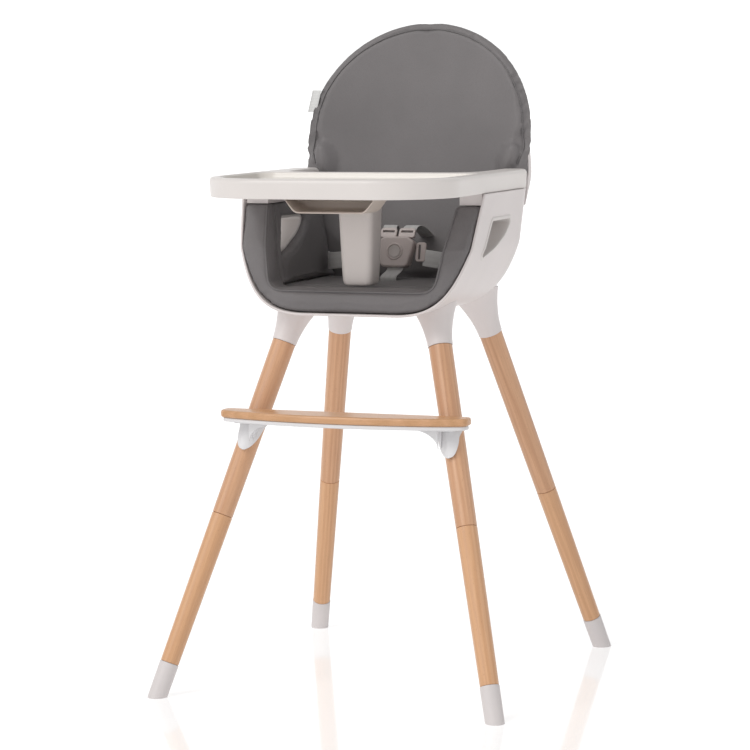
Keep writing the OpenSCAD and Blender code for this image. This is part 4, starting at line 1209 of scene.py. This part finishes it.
# %% [markdown]
# ## The liner, stuffed
# The liner is foam sewn into leatherette. A modelled block looks carved, so each
# pad is made the way it is filled: the CAD solid is copied, shrunk a few
# millimetres, remeshed into even cloth and blown up with the Cloth solver's
# pressure. Two rules keep it honest: no point travels further than a cap, and
# a face that lies against plastic may not pass its CAD surface, while a free
# face may stand a little proud.

# %% Stuffing
PADS = []
SINK = 0.0012  # how far a filled face may stay inside its CAD surface


def shell_of(obj, lobes):
    # the CAD solid as one welded surface, for asking how far outside a point is
    bm = bmesh.new()
    bm.from_mesh(obj.data)
    bmesh.ops.remove_doubles(bm, verts=bm.verts, dist=1e-5)
    for centre, radii in lobes:
        place = Matrix.Translation(Vector(centre) * MM) @ Matrix.Diagonal((*(r * MM for r in radii), 1))
        bmesh.ops.create_uvsphere(bm, u_segments=32, v_segments=20, radius=1, matrix=place)
    tree = BVHTree.FromBMesh(bm)
    return bm, tree


def start_pad(node, name, free, voxel=4.4, shrink=3.2, cap=6.5, proud=2.0, pressure=4.0, body="chair",
              bend=0.5, lobes=(), dome=None, calm=6):
    bm, tree = shell_of(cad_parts[node], lobes)
    mesh = bpy.data.meshes.new(name)
    bm.to_mesh(mesh)
    bm.free()
    obj = bpy.data.objects.new(name, mesh)
    bpy.context.scene.collection.objects.link(obj)
    remesh = obj.modifiers.new("cloth_mesh", "REMESH")
    remesh.mode, remesh.voxel_size = "VOXEL", voxel * MM
    freeze(obj)
    bm = bmesh.new()
    bm.from_mesh(obj.data)
    for _ in range(calm):
        bmesh.ops.smooth_vert(bm, verts=bm.verts, factor=0.5, use_axis_x=True, use_axis_y=True,
                              use_axis_z=True)
    bm.normal_update()
    for v in bm.verts:
        spot, normal, _, _ = tree.find_nearest(v.co)
        inside = (spot - v.co).dot(normal)
        v.co -= v.normal * max(shrink * MM - max(inside, 0), 0)
    bm.to_mesh(obj.data)
    bm.free()
    start = np.zeros(len(obj.data.vertices) * 3)
    obj.data.vertices.foreach_get("co", start)
    cloth = obj.modifiers.new("stuffing", "CLOTH")
    cloth.settings.quality = 5
    cloth.settings.mass = 0.3
    cloth.settings.tension_stiffness = cloth.settings.compression_stiffness = 15
    cloth.settings.shear_stiffness, cloth.settings.bending_stiffness = 5, bend
    cloth.settings.use_pressure, cloth.settings.uniform_pressure_force = True, pressure
    cloth.settings.effector_weights.gravity = 0
    cloth.point_cache.frame_start, cloth.point_cache.frame_end = 1, 20
    cloth.collision_settings.use_collision = False
    PADS.append({"obj": obj, "node": node, "tree": tree, "free": [Vector(d).normalized() for d in free],
                 "start": start.reshape(-1, 3), "cap": cap * MM, "proud": proud * MM, "body": body,
                 "dome": dome})
    return obj


def keep_in_bucket(co):
    # the bucket's rear corners are rounder than the CAD cavity's, and the foam gives way
    x, y, z = co / MM
    if z > RIM_Z + 1:
        return keep_in_dish(co, x, y, z)
    half, rear = tub_half(max(z - WALL, UNDER_Z)) - WALL - 0.6, tub_rear(z) - WALL - 0.6
    r = corner_radius(half + WALL) - WALL
    dx, dy = abs(x) - half + r, y - rear + r
    far = math.hypot(dx, dy)
    if dx > 0 and dy > 0 and far > r:
        co.x = math.copysign(half - r + dx * r / far, x) * MM
        co.y = (rear - r + dy * r / far) * MM


def keep_in_dish(co, x, y, z):
    # behind its lip the back pad stays clear of the back shell's wall
    lip = back_face_y(min(abs(x), 177), z) + 11.6
    if y < lip:
        return
    low_side = np.array(DISH_OUTLINE[:FOOT_STEPS + 1])
    up = max(z - SPRING_Z, 0) / (DISH_TOP - SPRING_Z)
    wide = DISH_HALF if up else float(np.interp(z, low_side[:, 1], low_side[:, 0]))
    over = math.hypot(abs(x) / wide, up) / 0.965
    if over > 1:
        x /= over
        z = SPRING_Z + (z - SPRING_Z) / over if up else z
    y = min(y, max(shell_rear_y(x, z) - WALL - 2.2, lip))
    co.x, co.y, co.z = x * MM, y * MM, z * MM


def reach_outline(obj, half, foot, swell, low, top):
    # stretches a domed pad sideways and up so that its edge lies on the outline
    side = np.array(dome_outline(half, foot, swell, low, top)[:15])
    pts = [v for v in obj.data.vertices if v.co.z / MM > low + 2]
    place = []
    for v in pts:
        x, z = v.co.x / MM, v.co.z / MM
        up = max(z - SPRING_Z, 0) / (top - SPRING_Z)
        across = abs(x) / (half if up else float(np.interp(z, side[:, 1], side[:, 0])))
        q = math.hypot(across, up)
        s = math.atan2(up, across) / (math.pi / 2) * 30 if up else (z - SPRING_Z) / 8
        place.append((q, int(round(s)) + 20, x < 0))
    for left in (False, True):
        reach = np.zeros(52)
        for q, s, on_left in place:
            if on_left == left:
                reach[s] = max(reach[s], q)
        reach[:12] = np.minimum(reach[:12], 1.0)
        reach = np.where(reach > 0.5, reach, 1.0)
        reach = np.convolve(np.pad(reach, 4, mode="edge"), np.ones(9) / 9, "valid")
        for v, (q, s, on_left) in zip(pts, place):  # the rim follows the outline, the middle stays
            if on_left == left and reach[s] < 1:
                more = 1 + (1 / reach[s] - 1) * ease((q / reach[s] - 0.72) / 0.26)
                v.co.x *= more
                if v.co.z / MM > SPRING_Z:
                    v.co.z = (SPRING_Z + (v.co.z / MM - SPRING_Z) * more) * MM
    # what the average leaves uneven is drawn onto the outline itself
    for v in pts:
        x, z = v.co.x / MM, v.co.z / MM
        up = max(z - SPRING_Z, 0) / (top - SPRING_Z)
        wide = half if up else float(np.interp(z, side[:, 1], side[:, 0]))
        q = math.hypot(abs(x) / wide, up)
        if 0.955 < q < 1.03:
            more = 1 + (1 / q - 1) * ease((q - 0.955) / 0.03)
            v.co.x *= more
            if up:
                v.co.z = (SPRING_Z + (z - SPRING_Z) * more) * MM
    obj.data.update()


def stuff_all():
    scene = bpy.context.scene
    for step in range(1, 21):
        scene.frame_set(step)
    for pad in PADS:
        obj, tree = pad["obj"], pad["tree"]
        freeze(obj)
        swell = obj.modifiers.new("smooth", "SUBSURF")
        swell.levels = swell.render_levels = 1
        now = np.zeros(len(obj.data.vertices) * 3)
        obj.data.vertices.foreach_get("co", now)
        now = now.reshape(-1, 3)
        move = now - pad["start"]
        far = np.linalg.norm(move, axis=1, keepdims=True)
        move *= np.minimum(1, pad["cap"] / np.maximum(far, 1e-9))
        now = pad["start"] + move
        obj.data.vertices.foreach_set("co", now.ravel())
        obj.data.update()
        if pad["dome"]:
            reach_outline(obj, *pad["dome"])
        held_back = 0
        for v in obj.data.vertices:
            spot, normal, _, _ = tree.find_nearest(v.co)
            out = (v.co - spot).dot(normal)
            facing = max((v.normal.dot(d) for d in pad["free"]), default=0)
            allowed = pad["proud"] * ease((facing - 0.1) / 0.5) - 0.0003
            aim = min(max(out, -SINK), allowed)
            if aim != out:
                v.co -= normal * (out - aim)
                held_back += 1
            keep_in_bucket(v.co)
        freeze(obj)
        print(f"{obj.name}: {len(obj.data.vertices)} points, travelled {far.max() / MM:.1f} mm, held back {held_back}")
    scene.frame_set(1)


def line_tree(points):
    tree = KDTree(len(points))
    for i, p in enumerate(points):
        tree.insert(Vector(p), i)
    tree.balance()
    return tree


def press_line(obj, points, depth, width):
    # a sewn line pulls the surface in: a soft groove along the points, in metres
    points = even([tuple(p) for p in points], max(int(len(points) * 2), 60))
    tree = line_tree([Vector(p) for p in points])
    for v in obj.data.vertices:
        _, _, away = tree.find(v.co)
        if away < width * 3:
            v.co -= v.normal * depth * math.exp(-(away / width) ** 2)
    obj.data.update()


def on_surface(obj, points, lift=0.0):
    tree = BVHTree.FromObject(obj, bpy.context.evaluated_depsgraph_get())
    out = []
    for p in points:
        spot, normal, _, _ = tree.find_nearest(Vector(p))
        out.append(spot + normal * lift)
    return out


def finish_pad(pad, finish):
    obj = pad["obj"]
    obj.data.materials.clear()
    obj.data.materials.append(finish)
    obj.data.shade_smooth()
    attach(obj, pad["body"])
    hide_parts(pad["node"])
    return obj


# %% [markdown]
# ### The five pads
# The back pad is free in front and round its domed edge, the seat only above,
# the side pads towards the child, and the front roll ahead, inwards and up. At
# its two lower corners the back pad carries a small stuffed wing.

# %% Pads
WINGS = [((side * 155, back_face_y(155, RIM_Z + 40) + 3, RIM_Z + 28), (26, 14, 38)) for side in (-1, 1)]
start_pad("liner_back", "back_pad", [(0, -1, 0.2), (0, 0, 1), (0.9, 0, 0.5), (-0.9, 0, 0.5)], voxel=4.6,
          shrink=3.6,
          proud=2.2, lobes=WINGS, dome=(178, 170, 5, RIM_Z, BACK_TOP))
start_pad("liner_seat", "seat_pad", [(0, 0, 1)], shrink=3.4, proud=1.2)
for hand, inwards in (("left", 1), ("right", -1)):
    start_pad("liner_side_" + hand, "side_pad_" + hand, [(inwards, 0, 0.1)], shrink=3.0, proud=1.4)
start_pad("liner_front_roll", "front_roll", [(0, -1, 0), (0, 0, 1), (1, 0, 0), (-1, 0, 0)],
          voxel=3.6, shrink=2.6, proud=1.6, cap=7, calm=3)
stuff_all()

# %% [markdown]
# ### Seams on the liner
# A corded seam runs round the inner edge of the front roll and another round
# the dome of the back. Each is a thin tube laid in a pressed line. Small
# pleats are pressed where the roll turns its two lower corners.

# %% Seams
def tube(path, radius, around=10):
    pts = [np.array(p, float) for p in path]
    side = None
    frames = []
    for i, p in enumerate(pts):
        ahead = pts[min(i + 1, len(pts) - 1)] - pts[max(i - 1, 0)]
        ahead /= np.linalg.norm(ahead)
        side = np.cross(ahead, (0.123, 0.345, 0.93)) if side is None else side - ahead * (side @ ahead)
        side /= np.linalg.norm(side)
        frames.append((p, side, np.cross(ahead, side)))

    def place(u, v):
        p, a, b = frames[int(round(v * (len(frames) - 1)))]
        angle = math.tau * u
        return Vector(p + radius * (a * math.cos(angle) + b * math.sin(angle)))
    return skin(around, len(frames) - 1, place, close=True)


def roll_front_y(z):
    return float(np.interp(z, [UNDER_Z, HIP_Z, RIM_Z - 16.5],
                           [FRONT_Y + 0.6, FRONT_Y + 22, RIM_FRONT_Y - 4]))


def well_half(z, away=0.0):
    return 124 + away + 27 * (z - UNDER_Z - 38) / (RIM_Z + 30 - UNDER_Z - 38)


def roll_seam(away=3.0, back=1.0):
    # round the inner edge of the roll's front, from rail to rail, in metres
    low, top = UNDER_Z + 38 - away, RIM_Z - 19
    flat = rounded([(-well_half(top, away), top), (-well_half(low, away), low), (well_half(low, away), low),
                    (well_half(top, away), top)],
                   [0, 20, 20, 0], 8)
    line = even(flat, 160)
    return [Vector((x, roll_front_y(z) + back, z)) * MM for x, z in line]


def dome_seam(inset):
    half = dome_outline(178 - inset, 170 - inset, 5, RIM_Z + 34, BACK_TOP - inset)
    return [Vector((x, back_face_y(min(abs(x), 177), z), z)) * MM for x, z in even(whole(half), 150)]


def piping(name, pad, path, radius=1.5, sink=0.5):
    obj = pad["obj"]
    bpy.context.view_layer.update()
    on = on_surface(obj, path, -sink * MM)
    for _ in range(3):
        on = [on[0]] + [(on[i - 1] + on[i] * 2 + on[i + 1]) / 4 for i in range(1, len(on) - 1)] + [on[-1]]
    press_line(obj, on, 1.3 * MM, 3.2 * MM)
    bm = tube([p / MM for p in on], radius)
    return piece(name, bm, PIPING, pad["body"], weighted=False)


pads = {pad["obj"].name: pad for pad in PADS}
piping("front_roll_piping", pads["front_roll"], roll_seam())
piping("back_pad_piping", pads["back_pad"], dome_seam(9), 0.8, 0.3)

for side in (-1, 1):
    for k, angle in enumerate((20, 40, 62)):
        # pleats fan out from the inner corner of the roll
        a = math.radians(angle)
        x0, z0 = side * (126 - 6), UNDER_Z + 34
        line = [Vector((x0 + side * math.cos(a) * (8 + t * (14 + 4 * k)), 0,
                        z0 - math.sin(a) * (8 + t * (14 + 4 * k)))) for t in np.linspace(0, 1, 12)]
        line = [Vector((p.x, roll_front_y(p.z), p.z)) * MM for p in line]
        press_line(pads["front_roll"]["obj"], on_surface(pads["front_roll"]["obj"], line), 0.9 * MM,
                   2.6 * MM)
for pad in PADS:
    finish_pad(pad, LEATHER)

# %% [markdown]
# ## Harness
# The webbing is woven flat and doesn't stretch, so each strap is modelled
# directly: a flat rounded section carried along a curve. Its UV map is laid in
# metres before the points move, so the weave has one scale on every strap.

# %% Straps
BUCKLE_LOW, BUCKLE_HIGH = box_mm("buckle_body")
BUCKLE = (BUCKLE_LOW + BUCKLE_HIGH) / 2
TILT = math.radians(14)
TO_BUCKLE = Matrix.Translation(BUCKLE) @ Matrix.Rotation(-TILT, 4, "X")


def strap(name, path, across, stands_for=(), width=25, thick=1.7, body="chair"):
    # across: the direction of the strap's width at each point of the path
    pts = even([tuple(p) for p in path], 42)
    wide = even([tuple(p) for p in across], 42)
    rim = [(math.copysign(abs(math.cos(a)) ** 0.16, math.cos(a)) * width / 2,
            math.sin(a) * thick / 2 * (0.45 + 0.55 * abs(math.sin(a)) ** 0.3))
           for a in np.linspace(0, math.tau, 25)[:-1]]
    length = float(np.linalg.norm(np.diff(pts, axis=0), axis=1).sum())

    def place(u, v):
        k = int(round(v * 41))
        a, b = rim[int(round(u * 24)) % 24]
        ahead = pts[min(k + 1, 41)] - pts[max(k - 1, 0)]
        side = wide[k] / np.linalg.norm(wide[k])
        up = np.cross(ahead / np.linalg.norm(ahead), side)
        return Vector(pts[k] + side * a + up / np.linalg.norm(up) * b)
    bm = skin(24, 41, place, close=True, weave=(2 * width * MM, length * MM))
    return piece(name, bm, WEBBING, body, stands_for, crisp=70, weighted=False)


def bend(a, b, c, d, n=30):
    return [tuple(p) for p in bez_points(a, b, c, d, n)]


SEAT_TOP = UNDER_Z + 38
for side in (-1, 1):
    name = "left" if side < 0 else "right"
    z = SEAT_TOP + 10 + 12.5
    start = (side * (well_half(z) - 7), REAR_Y - 66, z + 4)
    end = (BUCKLE.x + side * 42, REAR_Y - 85, z + 10)
    strap(f"waist_webbing_{name}", bend(start, (start[0] - side * 10, start[1] - 44, z + 2),
                                        (end[0] + side * 30, end[1] - 14, z + 8), end),
          [(0, 0.05, 1), (0, 0.2, 1), (0, 0.25, 1)], f"waist_strap_{name}")
    top = TO_BUCKLE @ Vector((side * 15.5, 4, 31))
    rear = Vector((BUCKLE.x + side * 26, back_face_y(20, UNDER_Z + 100) - 2.0, UNDER_Z + 98))
    mid = Vector((BUCKLE.x + side * 19, (top.y + rear.y) / 2 - 8, UNDER_Z + 124))
    strap(f"shoulder_webbing_{name}", bend(top, top + Vector((0, 5, 10)), mid, rear),
          [(1, 0, 0), (1, 0.1 * side, 0), (1, 0.15 * side, 0)],
          f"shoulder_strap_{name}", width=22)
low = (BUCKLE.x, REAR_Y - 120, SEAT_TOP + 0.8)
strap("crotch_webbing", bend(low, (BUCKLE.x, REAR_Y - 126, SEAT_TOP + 12),
                             tuple(TO_BUCKLE @ Vector((0, -3, -34))),
                             tuple(TO_BUCKLE @ Vector((0, 0, -23)))),
      [(1, 0, 0), (1, 0, 0)], "crotch_strap")

# %% [markdown]
# ### Buckle
# The buckle is a rounded shield with a round button in a raised collar. Four
# tongues plug into it, two from the sides and two from above, each with a slot
# that its strap passes through.

# %% Buckle
def shield(shrink=0.0):
    w, h = 30 - shrink, 23 - shrink
    return rounded([(-w + 9, -h), (w - 9, -h), (w, h - 8), (w - 12, h), (-w + 12, h), (-w, h - 8)],
                   [8, 8, 6, 7, 7, 6], 6)


def buckle():
    bm = prism(shield(), -8.8, 8.8, soft=3.2, segments=5, axis="y")
    bmesh.ops.transform(bm, matrix=Matrix.Scale(1, 4), verts=bm.verts)
    collar = turn([(9.75, 6.0), (9.75, 9.2), (10.3, 9.9), (11.3, 10.1), (12.4, 9.7), (13.0, 8.6),
                   (13.2, 6.0), (9.75, 6.0)], 40)
    bmesh.ops.rotate(collar, cent=(0, 0, 0), matrix=Matrix.Rotation(math.radians(90), 3, "X"),
                     verts=collar.verts)
    mesh = bpy.data.meshes.new("collar")
    collar.to_mesh(mesh)
    collar.free()
    bm.from_mesh(mesh)
    bpy.data.meshes.remove(mesh)
    bmesh.ops.transform(bm, matrix=TO_BUCKLE, verts=bm.verts)
    bmesh.ops.recalc_face_normals(bm, faces=bm.faces)
    return piece("buckle_shield", bm, BUCKLE_GREY, "chair", "buckle_body", crisp=50)


def button():
    bm = turn([(0, 8.9), (3, 8.95), (6, 9.3), (8.0, 9.9), (8.9, 9.9), (9.3, 9.4), (9.3, 1.0), (0, 1.0)], 40)
    bmesh.ops.rotate(bm, cent=(0, 0, 0), matrix=Matrix.Rotation(math.radians(90), 3, "X"), verts=bm.verts)
    bmesh.ops.transform(bm, matrix=TO_BUCKLE, verts=bm.verts)
    return piece("buckle_press", bm, BUTTON_GREY, "harness_button", "buckle_button", crisp=50)


def tipped(degrees, axis):
    return Matrix.Rotation(math.radians(degrees), 4, axis)


def tongue(name, place_at, width=30):
    # a rounded plate with a slot for the webbing, made flat and laid in place
    outer = rounded([(-width / 2, -9), (width / 2, -9), (width / 2, 7), (-width / 2, 7)], [4, 4, 5, 5], 5)
    bm = prism(outer, -2.2, 2.2, soft=1.1, segments=3, axis="y")
    obj = loose("tongue", bm)
    slot = prism([(-width / 2 + 3.5, -1), (width / 2 - 3.5, -1), (width / 2 - 3.5, 2.6),
                  (-width / 2 + 3.5, 2.6)], -6, 6, axis="y")
    cut(obj, loose("slot_knife", slot))
    done = taken(obj)
    bmesh.ops.transform(done, matrix=place_at, verts=done.verts)
    return piece(name, done, BUCKLE_GREY, "chair", crisp=45)


buckle()
button()
for side, name in ((-1, "left"), (1, "right")):
    upper = TO_BUCKLE @ Matrix.Translation((side * 14.5, 1, 30))
    tongue(f"shoulder_tongue_{name}", upper @ tipped(-16, "X"), width=26)
    lower = TO_BUCKLE @ Matrix.Translation((side * 37, 2, 1))
    tongue(f"waist_tongue_{name}", lower @ tipped(side * -90, "Y") @ tipped(180, "Z"), width=29)

# %% [markdown]
# ## Label
# A blank satin label is sewn into the left edge of the backrest. It is a folded
# ribbon, so it is made as a thin strap with a slight curl.

# %% Label
def side_label():
    low, high = box_mm("liner_tag")
    x1, x0 = high.x + 8, low.x + 4
    y = (low.y + high.y) / 2
    path = bend((x1, y, low.z + 17), (x1 - 4, y - 1.2, low.z + 17), (x0 + 4, y + 1.4, low.z + 17),
                (x0, y - 0.6, low.z + 17))
    bm_name = strap("side_label", path, [(0.26, 0, 1), (0.26, 0, 1)], "liner_tag", width=34, thick=0.8)
    bm_name.data.materials.clear()
    bm_name.data.materials.append(LABEL)
    return bm_name


side_label()

# %% [markdown]
# ## The end
# The view layer is brought up to date. The dressing has to stay in the
# CAD's box.

# %% Finish
bpy.context.view_layer.update()
